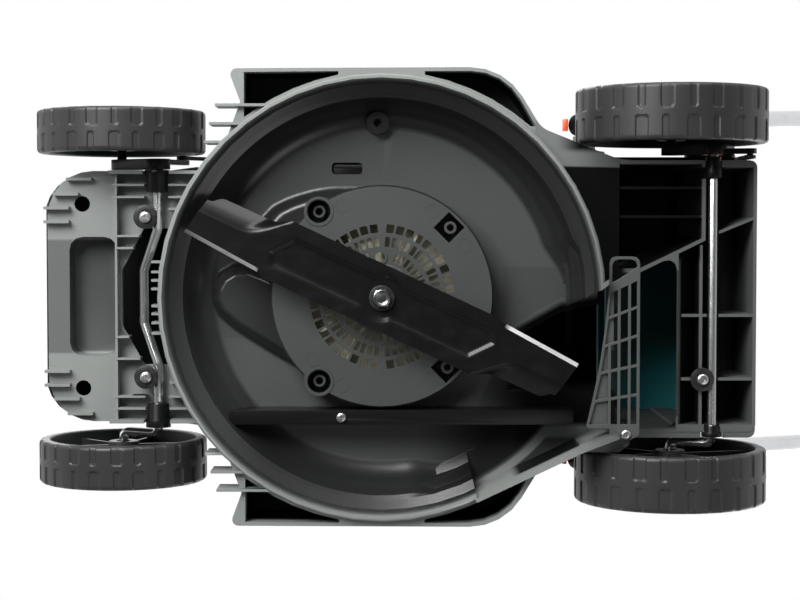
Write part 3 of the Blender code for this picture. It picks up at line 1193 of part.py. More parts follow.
RACK_OUTER = 70.0
RACK_INNER = 54.0
rack_points = []
for step in range(25):
    bearing = math.radians(60.0 + step * 3.5)
    reach = RACK_OUTER - (4.0 if step % 5 == 3 else 0.0)
    rack_points.append((REAR_AXLE_X + reach * math.cos(bearing),
                        LEVER_PIVOT_Z + reach * math.sin(bearing)))
for bearing in (144.0, 150.0, 158.0):
    rack_points.append((REAR_AXLE_X + 62.0 * math.cos(math.radians(bearing)),
                        LEVER_PIVOT_Z + 62.0 * math.sin(math.radians(bearing))))
for bearing, reach in ((158.0, 30.0), (142.0, 30.0), (136.0, RACK_INNER)):
    rack_points.append((REAR_AXLE_X + reach * math.cos(math.radians(bearing)),
                        LEVER_PIVOT_Z + reach * math.sin(math.radians(bearing))))
for step in range(12):
    bearing = math.radians(130.0 - step * 6.2)
    rack_points.append((REAR_AXLE_X + RACK_INNER * math.cos(bearing),
                        LEVER_PIVOT_Z + RACK_INNER * math.sin(bearing)))
add("lever_rack", prism(rack_points, -(LINK_INNER + LINK_THICK + 0.5), -(TAIL_HALF + 0.4), "Y"),
    "black steel", "mower")


def bush(name, centre, low, high, small, flange, flange_low, flange_high):
    """Plastic bearing of an axle, with a wider end."""
    profile = [(AXLE_R + RUN_GAP, low), (small, low), (small, high), (AXLE_R + RUN_GAP, high)]
    if flange_low <= low:
        profile = [(AXLE_R + RUN_GAP, flange_low), (flange, flange_low), (flange, flange_high),
                   (small, flange_high), (small, high), (AXLE_R + RUN_GAP, high)]
    else:
        profile = [(AXLE_R + RUN_GAP, low), (small, low), (small, flange_low),
                   (flange, flange_low), (flange, flange_high), (AXLE_R + RUN_GAP, flange_high)]
    add(name, lathe(profile, 20, (centre[0], 0.0, centre[1]), "Y"), "black plastic", "mower")


FRONT_AXIS = (FRONT_AXLE_X, FRONT_AXLE_Z)
REAR_AXIS = (REAR_AXLE_X, REAR_AXLE_Z)
bush("front_bush_left", FRONT_AXIS, -101.0, -87.0, 9.0, FRONT_BUSH_R, -105.4, -101.8)
bush("front_bush_right", FRONT_AXIS, 89.0, 101.0, 9.0, FRONT_BUSH_R, 101.8, 108.6)
bush("rear_bush_left", REAR_AXIS, -117.0, -108.8, REAR_BUSH_R, REAR_BUSH_R + 1.5, -107.8, -99.0)
bush("rear_bush_right", REAR_AXIS, 108.6, 117.9, REAR_BUSH_R, REAR_BUSH_R + 2.5,
     TAIL_HALF + GAP, 117.9)


def wheel(name, spot, inner, width, radius, sign, carrier):
    """One-piece plastic wheel: tread, web near the outer face, hub with a bore."""
    outer = inner + width
    bore = AXLE_R + RUN_GAP
    profile = [
        (bore, inner + HUB_GAP), (12.5, inner + HUB_GAP), (14.0, outer - 9.0),
        (radius - 13.0, outer - 9.0), (radius - 8.0, inner),
        (radius - 2.5, inner), (radius, inner + 3.0),
        (radius, outer - 3.0), (radius - 3.0, outer), (radius - 12.0, outer),
        (radius - 16.0, outer - 5.0), (16.0, outer - 5.0), (bore, outer - 2.0)]
    if sign < 0:
        profile = [(r, -h) for r, h in reversed(profile)]
    made = add(name, lathe(profile, 28, (spot[0], 0.0, spot[1]), "Y"), "tyre plastic", carrier)
    ribs = []
    for index in range(6):
        low, high = sorted((sign * (inner + 6.0), sign * (outer - 7.0)))
        rib = box(12.0, radius - 9.0, low, high, -1.2, 1.2)
        rib = turned(rib, Matrix.Rotation(math.radians(60 * index + 15), 4, "Y"))
        ribs.append(turned(rib, Matrix.Translation((spot[0], 0.0, spot[1]))))
    fuse(made, "ribs", *ribs)


for side, sign in (("left", -1.0), ("right", 1.0)):
    wheel("front_wheel_" + side, (FRONT_WHEEL_X, FRONT_WHEEL_R), FRONT_WHEEL_INNER,
          FRONT_WHEEL_WIDTH, FRONT_WHEEL_R, sign, "front_wheel_body_" + side)
    wheel("rear_wheel_" + side, (REAR_WHEEL_X, REAR_WHEEL_R), REAR_WHEEL_INNER,
          REAR_WHEEL_WIDTH, REAR_WHEEL_R, sign, "rear_wheel_body_" + side)


# Motor hood, carry handle and rear flap
hood_heights = ((-283.0, 80.0), (-265.0, 98.0), (-230.0, 113.0), (-190.0, 132.0),
                (-156.0, 152.0), (-130.0, 174.0), (-95.0, 212.0), (-60.0, 246.0),
                (-25.0, 262.0), (20.0, HOOD_TOP), (90.0, HOOD_TOP - 2.0), (150.0, 260.0),
                (HOOD_END, 254.5))
HOOD_SQUARE = 3.4
HOOD_ARCH = 14


def hood_height(x):
    for (x0, z0), (x1, z1) in zip(hood_heights, hood_heights[1:]):
        if x <= x1:
            part = (x - x0) / (x1 - x0)
            return z0 + (z1 - z0) * part
    return hood_heights[-1][1]


def hood_half(x):
    """Half width: round nose, then a slow widening to the rear."""
    nose = APRON_NOSE + NOSE_RADIUS
    if x < nose:
        reach = max(0.0, NOSE_RADIUS ** 2 - (nose - x) ** 2)
        return HOOD_FRONT_HALF - NOSE_RADIUS + math.sqrt(reach)
    if x < -200.0:
        return HOOD_FRONT_HALF
    part = min(1.0, (x + 200.0) / 75.0)
    return HOOD_FRONT_HALF + (HOOD_REAR_HALF - HOOD_FRONT_HALF) * part * part * (3 - 2 * part)


def hood_base(x):
    return APRON_BOTTOM + WALL + GAP if x < HOOD_STEP else DECK_TOP + GAP


def hood_ring(x, base, inset):
    """One cross section, from the left foot over the top to the right foot."""
    half = hood_half(x) - inset
    crown = hood_height(x) - inset - base
    square = HOOD_SQUARE if x > -200.0 else HOOD_SQUARE + 1.0
    line = []
    for step in range(HOOD_ARCH + 1):
        angle = math.pi * step / HOOD_ARCH
        side = -math.cos(angle)
        rise = math.sin(angle)
        y = half * math.copysign(abs(side) ** (2 / square), side)
        z = base + crown * abs(rise) ** (2 / square)
        line.append((x, y, z))
    return line


def hood_solid(inset, front, back, base_lift=0.0, cap=True):
    stations_x = [-278.5, -272.0, -262.0, -245.0, -225.0, -200.0, -178.0, HOOD_STEP - 0.05,
                  HOOD_STEP + 0.05, -125.0, -95.0, -60.0, -25.0, 20.0, 90.0, 150.0]
    stations_x = [front] + [x for x in stations_x if front + 1 < x < back - 1] + [back]
    return loft([hood_ring(x, hood_base(x) + base_lift, inset) for x in stations_x])


HOOD_NOSE = APRON_NOSE + 1.2
hood = add("motor_hood", hood_solid(0.0, HOOD_NOSE, HOOD_END), "teal plastic", "mower")
cut(hood, "inside", hood_solid(HOOD_WALL, HOOD_NOSE + HOOD_WALL + 0.6, HOOD_END + 5.0, -4.0))
louvres = []
for index in range(6):
    x = -6.0 + index * 16.0
    louvres.append(prism([(x, 150.0), (x + 6.0, 150.0), (x + 20.0, 208.0),
                          (x + 14.0, 208.0)], -130.0, 130.0, "Y"))
cut(hood, "louvres", *louvres)

CARRY_X = -20.0
CARRY_HALF = 62.0
CARRY_RISE = 40.0
crown_z = hood_height(CARRY_X)
carry = add("carry_handle", prism(
    rounded([(-CARRY_HALF - 13.0, crown_z - 22.0), (-CARRY_HALF - 13.0, crown_z + CARRY_RISE, 26.0),
             (CARRY_HALF + 13.0, crown_z + CARRY_RISE, 26.0), (CARRY_HALF + 13.0, crown_z - 22.0),
             (CARRY_HALF - 7.0, crown_z - 22.0), (CARRY_HALF - 7.0, crown_z + CARRY_RISE - 15.0, 12.0),
             (-CARRY_HALF + 7.0, crown_z + CARRY_RISE - 15.0, 12.0),
             (-CARRY_HALF + 7.0, crown_z - 22.0)], 4),
    CARRY_X - 14.0, CARRY_X + 14.0, "X"), "black plastic", "mower")
cut(carry, "hood seat", hood_solid(-GAP - 0.2, -150.0, 120.0, -0.1))

FLAP_THICK = 3.0
FLAP_HALF = 113.5
slope_way = Vector((TAIL_END - CREST_X, TAIL_REAR_TOP - TAIL_CREST)).normalized()
slope_up = Vector((-slope_way.y, slope_way.x))
seat = Vector((CREST_X, TAIL_CREST)) + slope_up * 0.4
flap_start = seat + slope_way * 12.0
flap_end = seat + slope_way * 153.0
flap = add("rear_flap", prism([
    tuple(flap_start), tuple(flap_end), tuple(flap_end + slope_up * FLAP_THICK),
    tuple(flap_start + slope_up * FLAP_THICK)], -FLAP_HALF, FLAP_HALF, "Y"),
    "teal plastic", "rear_flap_body")
KNUCKLE_R = 5.0
knuckle_half = LUG_Y - 0.8
fuse(flap, "neck", prism([
    (FLAP_AXIS[0] + 1.0, FLAP_AXIS[1] + KNUCKLE_R - 0.4), tuple(seat + slope_way * 6.0 + slope_up * 0.4),
    tuple(flap_start + slope_way * 4.0 + slope_up * 0.3),
    tuple(flap_start + slope_way * 4.0 + slope_up * (FLAP_THICK - 0.3))],
    -knuckle_half + 1.0, knuckle_half - 1.0, "Y"))
fuse(flap, "knuckle", rod((FLAP_AXIS[0], -knuckle_half, FLAP_AXIS[1]),
                          (FLAP_AXIS[0], knuckle_half, FLAP_AXIS[1]), KNUCKLE_R, steps=18))
cut(flap, "pin bore", rod((FLAP_AXIS[0], -120.0, FLAP_AXIS[1]), (FLAP_AXIS[0], 120.0, FLAP_AXIS[1]),
                          PIN_FLAP_R + RUN_GAP, steps=14))
flap_ribs = []
for y in (-70.0, 0.0, 70.0):
    low = flap_start + slope_way * 12.0 + slope_up * (FLAP_THICK - 0.5)
    high = flap_end - slope_way * 8.0 + slope_up * (FLAP_THICK - 0.5)
    flap_ribs.append(prism([tuple(low), tuple(high), tuple(high + slope_up * 3.0),
                            tuple(low + slope_up * 3.0)], y - 1.2, y + 1.2, "Y"))
fuse(flap, "ribs", *flap_ribs)


# Handle: lower tubes, upper tube and their fittings
def carried(mesh):
    """Turn a mesh drawn along the handle into its place."""
    return turned(mesh, HANDLE)


SPLAY = (JOINT_Y - PIVOT_Y) / LOWER_LENGTH
FOOT_LENGTH = 32.0
TUBE_START = FOOT_LENGTH + GAP
TUBE_TAIL = 16.0
LATCH_THICK = 4.0
LATCH_LENGTH = 19.0
LATCH_WIDTH = 10.0
heel = on_handle(-TUBE_R, 0.0, TUBE_R - 0.4)
latch_x = heel[0] - GAP - LATCH_THICK
latch_z = heel[2] + 9.7
for side, sign in (("left", -1.0), ("right", 1.0)):
    def at(u, w=0.0, off=0.0):
        return (u, sign * (PIVOT_Y + u * SPLAY + off), w)

    tube = add("lower_tube_" + side, carried(rod(
        at(TUBE_START), at(LOWER_LENGTH + TUBE_TAIL), TUBE_R, steps=20)),
        "silver tube", "lower_handle_body")
    cut(tube, "bore", carried(rod(
        at(TUBE_START - 10.0), at(LOWER_LENGTH + TUBE_TAIL + 10.0), TUBE_R - TUBE_WALL, steps=20)))
    joint_y = sign * JOINT_Y
    fuse(tube, "clamp bolt", carried(rod(
        (LOWER_LENGTH, sign * (UPPER_Y - TUBE_R - 1.0), 0.0),
        (LOWER_LENGTH, sign * (JOINT_Y + TUBE_R + 1.2), 0.0), 3.2, steps=10, turn=0.13)))
    fuse(tube, "bolt head", carried(rod(
        (LOWER_LENGTH, sign * (UPPER_Y - TUBE_R - 4.0), 0.0),
        (LOWER_LENGTH, sign * (UPPER_Y - TUBE_R - 0.5), 0.0), 6.5, steps=6)))
    foot = add("handle_foot_" + side, carried(rod(
        at(-TUBE_R), at(FOOT_LENGTH), TUBE_R - 0.4, TUBE_R, steps=20)),
        "black plastic", "lower_handle_body")
    fuse(foot, "spigot", carried(rod(at(FOOT_LENGTH - 2.0), at(64.0), TUBE_R - TUBE_WALL - GAP,
                                     steps=20)))
    cut(foot, "pivot hole", carried(rod(
        (0.0, sign * 130.0, 0.0), (0.0, sign * 175.0, 0.0), PIVOT_PIN_R + RUN_GAP, steps=16)))
    cut(foot, "boss room", carried(rod(
        (0.0, sign * 125.0, 0.0), (0.0, sign * 140.3, 0.0), 12.5, steps=20)))
    body("handle_latch_body_" + side,
         (latch_x + LATCH_THICK / 2, sign * PIVOT_Y, latch_z), "lower_handle_body")
    inner, outer = sorted((sign * (PIVOT_Y - LATCH_WIDTH / 2), sign * (PIVOT_Y + LATCH_WIDTH / 2)))
    latch = add("handle_latch_" + side, prism(
        rounded([(latch_x - 0.6, latch_z + 3.5 - LATCH_LENGTH, 1.5),
                 (latch_x + LATCH_THICK - 0.6, latch_z + 3.5 - LATCH_LENGTH, 1.5),
                 (latch_x + LATCH_THICK + 1.0, latch_z, 2.0),
                 (latch_x + LATCH_THICK, latch_z + 3.5, 1.5),
                 (latch_x, latch_z + 3.5, 1.5)], 2), inner, outer, "Y"),
        "orange plastic", "handle_latch_body_" + side)
    body("quick_lever_body_" + side,
         on_handle(LOWER_LENGTH, sign * (JOINT_Y + 17.0), 0.0), "lower_handle_body")
    cam_y = sign * (JOINT_Y + 17.0)
    lever_piece = add("quick_lever_" + side, carried(rod(
        (LOWER_LENGTH, cam_y, -9.0), (LOWER_LENGTH, cam_y, 9.0), 5.4, steps=16)),
        "orange plastic", "quick_lever_body_" + side)
    low, high = sorted((sign * (JOINT_Y + 14.5), sign * (JOINT_Y + 19.5)))
    fuse(lever_piece, "grip", carried(box(
        LOWER_LENGTH - 60.0, LOWER_LENGTH, low, high, -6.0, 6.0)))

UPPER_END = LOWER_LENGTH + UPPER_LENGTH
UPPER_START = LOWER_LENGTH - 14.0
CORNER = 38.0
upper = add("upper_tube", carried(hollow_tube([
    (UPPER_START, -UPPER_Y, 0.0), (UPPER_END, -UPPER_Y, 0.0), (UPPER_END, UPPER_Y, 0.0),
    (UPPER_START, UPPER_Y, 0.0)], TUBE_R, TUBE_R - TUBE_WALL, CORNER)),
    "silver tube", "upper_handle_body")
cut(upper, "bolt holes", carried(rod(
    (LOWER_LENGTH, -190.0, 0.0), (LOWER_LENGTH, -140.0, 0.0), 3.6, steps=12)),
    carried(rod((LOWER_LENGTH, 140.0, 0.0), (LOWER_LENGTH, 190.0, 0.0), 3.6, steps=12)))
foam = add("foam_grip", carried(lathe([
    (TUBE_R + GAP, -GRIP_LENGTH / 2), (GRIP_R - 1.5, -GRIP_LENGTH / 2),
    (GRIP_R, -GRIP_LENGTH / 2 + 3.0), (GRIP_R, GRIP_LENGTH / 2 - 3.0),
    (GRIP_R - 1.5, GRIP_LENGTH / 2), (TUBE_R + GAP, GRIP_LENGTH / 2)], 24,
    (UPPER_END, 0.0, 0.0), "Y")), "foam", "upper_handle_body")

BAIL_PIVOT = UPPER_END - 75.0
BAIL_REACH = 51.0
BAIL_R = 4.5
BAIL_ANGLE = 26.0
BAIL_Y = UPPER_Y - TUBE_R - BAIL_R - 1.0
BAIL_TURN = math.radians(BAIL_ANGLE + 2.0)
body("bail_lever_body", on_handle(BAIL_PIVOT, 0.0, 0.0), "upper_handle_body")
bail_tip = (BAIL_PIVOT + BAIL_REACH * math.cos(BAIL_TURN), BAIL_REACH * math.sin(BAIL_TURN))
bail = add("bail_lever", carried(pipe([
    (BAIL_PIVOT, -UPPER_Y - 1.0, 0.0), (BAIL_PIVOT, -BAIL_Y, 0.0),
    (bail_tip[0], -BAIL_Y, bail_tip[1]), (bail_tip[0], BAIL_Y, bail_tip[1]),
    (BAIL_PIVOT, BAIL_Y, 0.0), (BAIL_PIVOT, UPPER_Y + 1.0, 0.0)], BAIL_R, 5.0, 2, 3)),
    "black plastic", "bail_lever_body")
cut(upper, "bail holes", carried(rod(
    (BAIL_PIVOT, -UPPER_Y + 4.0, 0.0), (BAIL_PIVOT, -UPPER_Y + 20.0, 0.0),
    BAIL_R + RUN_GAP, steps=16)), carried(rod(
        (BAIL_PIVOT, UPPER_Y - 20.0, 0.0), (BAIL_PIVOT, UPPER_Y - 4.0, 0.0),
        BAIL_R + RUN_GAP, steps=16)))

BOX_START = UPPER_END - 185.0
BOX_END = UPPER_END - 95.0
BOX_LOW = -22.0
BOX_HIGH = 26.0
BOX_HALF = 24.0
switch = add("switch_box", carried(prism(
    rounded([(BOX_START, UPPER_Y - BOX_HALF, 9.0), (BOX_END, UPPER_Y - BOX_HALF, 9.0),
             (BOX_END, UPPER_Y + BOX_HALF, 9.0), (BOX_START, UPPER_Y + BOX_HALF, 9.0)], 3),
    BOX_LOW, BOX_HIGH, chamfer=3.0)), "black plastic", "upper_handle_body")
cut(switch, "tube bore", carried(rod(
    (BOX_START - 20.0, UPPER_Y, 0.0), (BOX_END + 20.0, UPPER_Y, 0.0), TUBE_R + GAP, steps=24)))
INLET_R = 7.5
INLET_SPOT = (UPPER_Y - 13.0, BOX_HIGH - 11.0)
fuse(switch, "power inlet", carried(rod(
    (BOX_START + 2.0, *INLET_SPOT), (BOX_START - 20.0, *INLET_SPOT), INLET_R, steps=20)))
cut(switch, "inlet bore", carried(rod(
    (BOX_START - 6.0, *INLET_SPOT), (BOX_START - 30.0, *INLET_SPOT), INLET_R - 2.0, steps=16)))
BUTTON_R = 8.0
BUTTON_U = (BOX_START + BOX_END) / 2 + 12.0
BUTTON_TRAVEL = 4.0
button_from = BOX_HIGH - 9.0
cut(switch, "button well", carried(rod(
    (BUTTON_U, UPPER_Y, button_from - 0.6 - BUTTON_TRAVEL), (BUTTON_U, UPPER_Y, BOX_HIGH + 5.0),
    BUTTON_R + RUN_GAP, steps=20)))
body("start_button_body", on_handle(BUTTON_U, UPPER_Y, BOX_HIGH), "upper_handle_body")
add("start_button", carried(lathe([
    (0.0, button_from), (BUTTON_R, button_from), (BUTTON_R, BOX_HIGH + 4.0),
    (BUTTON_R - 1.5, BOX_HIGH + 5.5), (0.0, BOX_HIGH + 5.5)], 20, (BUTTON_U, UPPER_Y, 0.0))),
    "orange plastic", "start_button_body")
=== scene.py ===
import math
import bpy
import bmesh
from mathutils import Matrix, Vector


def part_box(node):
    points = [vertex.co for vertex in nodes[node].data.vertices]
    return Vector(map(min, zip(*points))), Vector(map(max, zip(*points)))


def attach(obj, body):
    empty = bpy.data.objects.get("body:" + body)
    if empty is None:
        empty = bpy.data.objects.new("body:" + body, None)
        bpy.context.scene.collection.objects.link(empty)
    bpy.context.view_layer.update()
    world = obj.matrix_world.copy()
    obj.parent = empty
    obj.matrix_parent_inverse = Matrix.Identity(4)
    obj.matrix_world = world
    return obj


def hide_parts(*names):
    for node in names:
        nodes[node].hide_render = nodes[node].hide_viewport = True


# Corded rotary mower seen from underneath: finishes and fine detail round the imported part
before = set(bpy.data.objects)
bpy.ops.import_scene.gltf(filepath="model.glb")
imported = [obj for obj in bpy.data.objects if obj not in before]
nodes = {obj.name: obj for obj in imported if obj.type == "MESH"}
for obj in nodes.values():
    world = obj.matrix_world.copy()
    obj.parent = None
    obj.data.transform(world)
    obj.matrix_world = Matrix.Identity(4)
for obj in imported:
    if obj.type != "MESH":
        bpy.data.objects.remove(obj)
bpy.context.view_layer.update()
mm = 0.001
deckX = -0.3138                                   # the blade's axis in the shared frame
print("frame loaded:", len(nodes), "nodes")


# Node trees
def addNode(tree, kind, inputs=None, **settings):
    # an input takes a plain value or another node's output
    node = tree.nodes.new(kind)
    for label, value in settings.items():
        setattr(node, label, value)
    for label, value in (inputs or {}).items():
        if isinstance(value, bpy.types.NodeSocket):
            tree.links.new(value, node.inputs[label])
        else:
            node.inputs[label].default_value = value
    return node


def maths(tree, kind, *values):
    return addNode(tree, "ShaderNodeMath", dict(enumerate(values)), operation=kind).outputs[0]


def rampOf(tree, value, span, start=0.0, end=1.0, kind="SMOOTHSTEP"):
    # start below the span, end above it
    return addNode(tree, "ShaderNodeMapRange", {
        "Value": value, "From Min": span[0], "From Max": span[1], "To Min": start, "To Max": end,
    }, interpolation_type=kind).outputs["Result"]


def mixed(tree, kind, first, second, share):
    return addNode(tree, "ShaderNodeMix", {"Factor": share, "A": first, "B": second},
                   data_type=kind).outputs["Result"]


def scaled(tree, colour, share):
    return addNode(tree, "ShaderNodeVectorMath", {0: colour, "Scale": share},
                   operation="SCALE").outputs[0]


# Camera, world, lamps and floor
cameraSettings = {
    "pinhole": (deckX + 0.015, -0.054, -1.390),   # the eye, straight under the deck
    "sensor": 36.0,
    "lens": 77.85,                                # 1730 px over 800 px of the sensor
    "axisDrop": 68.0 / 1730.0,                    # how far the view leans to the image's bottom
    "clip": (0.05, 50.0),
}
lampSettings = {
    "keyBelow": {"at": (-1.05, -0.95, -1.15), "to": (-0.30, 0.0, 0.10),
                 "size": (1.0, 0.9), "power": 46.0},
    "topBelow": {"at": (-0.10, -1.60, -0.55), "to": (-0.20, 0.0, 0.10),
                 "size": (1.4, 0.5), "power": 16.0},
    "fillBelow": {"at": (0.55, 0.95, -1.35), "to": (-0.20, 0.0, 0.10),
                  "size": (0.9, 0.7), "power": 4.0},
    "keyAbove": {"at": (-0.9, -1.6, 2.3), "to": (0.0, 0.0, 0.3),
                 "size": (1.8, 1.4), "power": 42.0},
    "fillAbove": {"at": (1.3, 1.7, 1.9), "to": (0.0, 0.0, 0.3),
                  "size": (1.6, 1.2), "power": 22.0},
}
worldSettings = {                                 # strengths over the height of the ray's way
    "matt": {"span": (-1.0, 0.4), "below": 0.15, "above": 0.60},
    "shiny": {"span": (-0.75, 0.15), "below": 0.06, "above": 0.95},
}
floorSettings = {"reach": 6.0, "height": -0.0006, "colour": (0.80, 0.80, 0.79, 1.0), "rough": 0.75}


def putInScene(name, data):
    thing = bpy.data.objects.new(name, data)
    bpy.context.scene.collection.objects.link(thing)
    return thing


def makeCamera(s):
    data = bpy.data.cameras.new("camera")
    camera = putInScene("camera", data)
    data.sensor_width = s["sensor"]
    data.lens = s["lens"]
    data.clip_start, data.clip_end = s["clip"]
    ahead = Vector((0.0, s["axisDrop"], 1.0)).normalized()
    right = Vector((1.0, 0.0, 0.0))
    turn = Matrix((right, right.cross(ahead), -ahead)).transposed()
    camera.matrix_world = Matrix.Translation(s["pinhole"]) @ turn.to_4x4()
    bpy.context.scene.camera = camera


def makeLamp(name, s):
    data = bpy.data.lights.new(name, "AREA")
    data.shape = "RECTANGLE"
    data.size, data.size_y = s["size"]
    data.energy = s["power"]
    lamp = putInScene(name, data)
    lamp.location = s["at"]
    aim = Vector(s["to"]) - Vector(s["at"])
    lamp.rotation_euler = aim.to_track_quat("-Z", "Y").to_euler()
    lamp.visible_camera = False


def makeWorld(s):
    world = bpy.data.worlds.new("studio")
    bpy.context.scene.world = world
    world.use_nodes = True
    tree = world.node_tree
    tree.nodes.clear()
    place = addNode(tree, "ShaderNodeTexCoord").outputs["Generated"]
    height = addNode(tree, "ShaderNodeSeparateXYZ", {0: place}).outputs["Z"]
    path = addNode(tree, "ShaderNodeLightPath").outputs
    matt, shiny = s["matt"], s["shiny"]
    soft = rampOf(tree, height, matt["span"], matt["below"], matt["above"], "LINEAR")
    bright = rampOf(tree, height, shiny["span"], shiny["below"], shiny["above"])
    white = mixed(tree, "FLOAT", bright, 1.0, path["Is Camera Ray"])
    lit, seen = (addNode(tree, "ShaderNodeBackground", {
        "Color": (1.0, 1.0, 1.0, 1.0), "Strength": power}).outputs[0] for power in (soft, white))
    straight = maths(tree, "MAXIMUM", path["Is Camera Ray"], path["Is Glossy Ray"])
    straight = maths(tree, "MAXIMUM", straight, path["Is Transmission Ray"])
    mix = addNode(tree, "ShaderNodeMixShader", {"Fac": straight, 1: lit, 2: seen})
    addNode(tree, "ShaderNodeOutputWorld", {"Surface": mix.outputs[0]})


def makeFloor(s):
    # pale from above, where the shadow falls, and open to the eye and the lamps from beneath
    bm = bmesh.new()
    bmesh.ops.create_grid(bm, x_segments=1, y_segments=1, size=s["reach"])
    bmesh.ops.translate(bm, verts=bm.verts, vec=(0.0, 0.0, s["height"]))
    mesh = bpy.data.meshes.new("floor")
    bm.to_mesh(mesh)
    bm.free()
    floor = putInScene("floor", mesh)
    mat = bpy.data.materials.new("paleFloor")
    mat.use_nodes = True
    tree = mat.node_tree
    shader = tree.nodes["Principled BSDF"]
    shader.inputs["Base Color"].default_value = s["colour"]
    shader.inputs["Roughness"].default_value = s["rough"]
    clear = addNode(tree, "ShaderNodeBsdfTransparent").outputs[0]
    path = addNode(tree, "ShaderNodeLightPath").outputs
    side = addNode(tree, "ShaderNodeNewGeometry").outputs
    front = maths(tree, "SUBTRACT", 1.0, side["Backfacing"])
    seen = maths(tree, "MULTIPLY", front, path["Is Camera Ray"])
    mix = addNode(tree, "ShaderNodeMixShader", {"Fac": seen, 1: clear, 2: shader.outputs[0]})
    tree.links.new(mix.outputs[0], tree.nodes["Material Output"].inputs["Surface"])
    mesh.materials.append(mat)


makeCamera(cameraSettings)
for lampName, lampValues in lampSettings.items():
    makeLamp(lampName, lampValues)
makeWorld(worldSettings)
makeFloor(floorSettings)
bpy.context.scene.view_settings.view_transform = "Standard"
print("camera, lamps and floor in place")


# Node groups shared by the finishes
skinPattern = {
    "grainDetail": 2.0,
    "slow": (14.0, 3.0),                          # scale and detail
    "flow": (2.0, 4.0), "flowStretch": (6.0, 42.0, 20.0),
}
scuffPattern = {
    "turn": (0.3, 0.2, 0.46), "stretch": (0.12, 1.0, 1.0),
    "scratch": (5.0, 0.6),                        # detail and roughness
    "spots": (70.0, 3.0),                         # scale and detail
    "worn": (0.22, 0.42), "bump": 0.08,
}
bumpDistance = 0.0002


def newGroup(name, inputs):
    group = bpy.data.node_groups.new(name, "ShaderNodeTree")
    for label, value in inputs.items():
        kind = "NodeSocketFloat" if isinstance(value, float) else "NodeSocketColor"
        socket = group.interface.new_socket(label, in_out="INPUT", socket_type=kind)
        socket.default_value = value
    for label, kind in (("Colour", "Color"), ("Roughness", "Float"), ("Normal", "Vector")):
        group.interface.new_socket(label, in_out="OUTPUT", socket_type="NodeSocket" + kind)
    into = group.nodes.new("NodeGroupInput").outputs
    out = group.nodes.new("NodeGroupOutput").inputs
    return group, into, out


def putOut(group, out, colour, rough, normal):
    for label, socket in (("Colour", colour), ("Roughness", rough), ("Normal", normal)):
        group.links.new(socket, out[label])


def makeSkin(s):
    # moulded skin: spark-eroded grain, slow shade changes and flow lines
    group, into, out = newGroup("mouldedSkin", {
        "Colour": (0.05, 0.05, 0.05, 1.0), "Grain size": 900.0, "Grain depth": 0.25, "Shade": 0.18,
        "Roughness": 0.45, "Flow": 0.08,
    })
    place = addNode(group, "ShaderNodeTexCoord").outputs["Object"]
    grain = addNode(group, "ShaderNodeTexNoise", {
        "Vector": place, "Scale": into["Grain size"], "Detail": s["grainDetail"]})
    slow = addNode(group, "ShaderNodeTexNoise", {
        "Vector": place, "Scale": s["slow"][0], "Detail": s["slow"][1]})
    stretch = addNode(group, "ShaderNodeMapping", {"Vector": place, "Scale": s["flowStretch"]})
    flow = addNode(group, "ShaderNodeTexNoise", {
        "Vector": stretch.outputs[0], "Scale": s["flow"][0], "Detail": s["flow"][1]})
    shade = maths(group, "MULTIPLY_ADD", slow.outputs["Fac"], into["Shade"], 1.0)
    shade = maths(group, "MULTIPLY_ADD", into["Shade"], -0.5, shade)   # even about the colour
    rough = maths(group, "MULTIPLY_ADD", flow.outputs["Fac"], into["Flow"], into["Roughness"])
    bump = addNode(group, "ShaderNodeBump", {
        "Distance": bumpDistance, "Strength": into["Grain depth"], "Height": grain.outputs["Fac"]})
    putOut(group, out, scaled(group, into["Colour"], shade), rough, bump.outputs[0])
    return group


def makeScuff(s):
    # bare steel or worn paint: fine scratches and spots that take the shine off
    group, into, out = newGroup("scuffedMetal", {
        "Colour": (0.6, 0.6, 0.6, 1.0), "Worn colour": (0.3, 0.3, 0.3, 1.0), "Wear": 0.2,
        "Scratch size": 160.0, "Roughness": 0.3, "Spread": 0.2,
    })
    place = addNode(group, "ShaderNodeTexCoord").outputs["Object"]
    lines = addNode(group, "ShaderNodeMapping", {
        "Vector": place, "Rotation": s["turn"], "Scale": s["stretch"]})
    scratch = addNode(group, "ShaderNodeTexNoise", {
        "Vector": lines.outputs[0], "Scale": into["Scratch size"],
        "Detail": s["scratch"][0], "Roughness": s["scratch"][1]})
    spots = addNode(group, "ShaderNodeTexNoise", {
        "Vector": place, "Scale": s["spots"][0], "Detail": s["spots"][1]})
    both = maths(group, "MULTIPLY", scratch.outputs["Fac"], spots.outputs["Fac"])
    worn = maths(group, "MULTIPLY", rampOf(group, both, s["worn"], kind="LINEAR"), into["Wear"])
    colour = mixed(group, "RGBA", into["Colour"], into["Worn colour"], worn)
    rough = maths(group, "MULTIPLY_ADD", both, into["Spread"], into["Roughness"])
    bump = addNode(group, "ShaderNodeBump", {
        "Distance": bumpDistance, "Strength": s["bump"], "Height": scratch.outputs["Fac"]})
    putOut(group, out, colour, rough, bump.outputs[0])
    return group


skinGroup = makeSkin(skinPattern)
scuffGroup = makeScuff(scuffPattern)


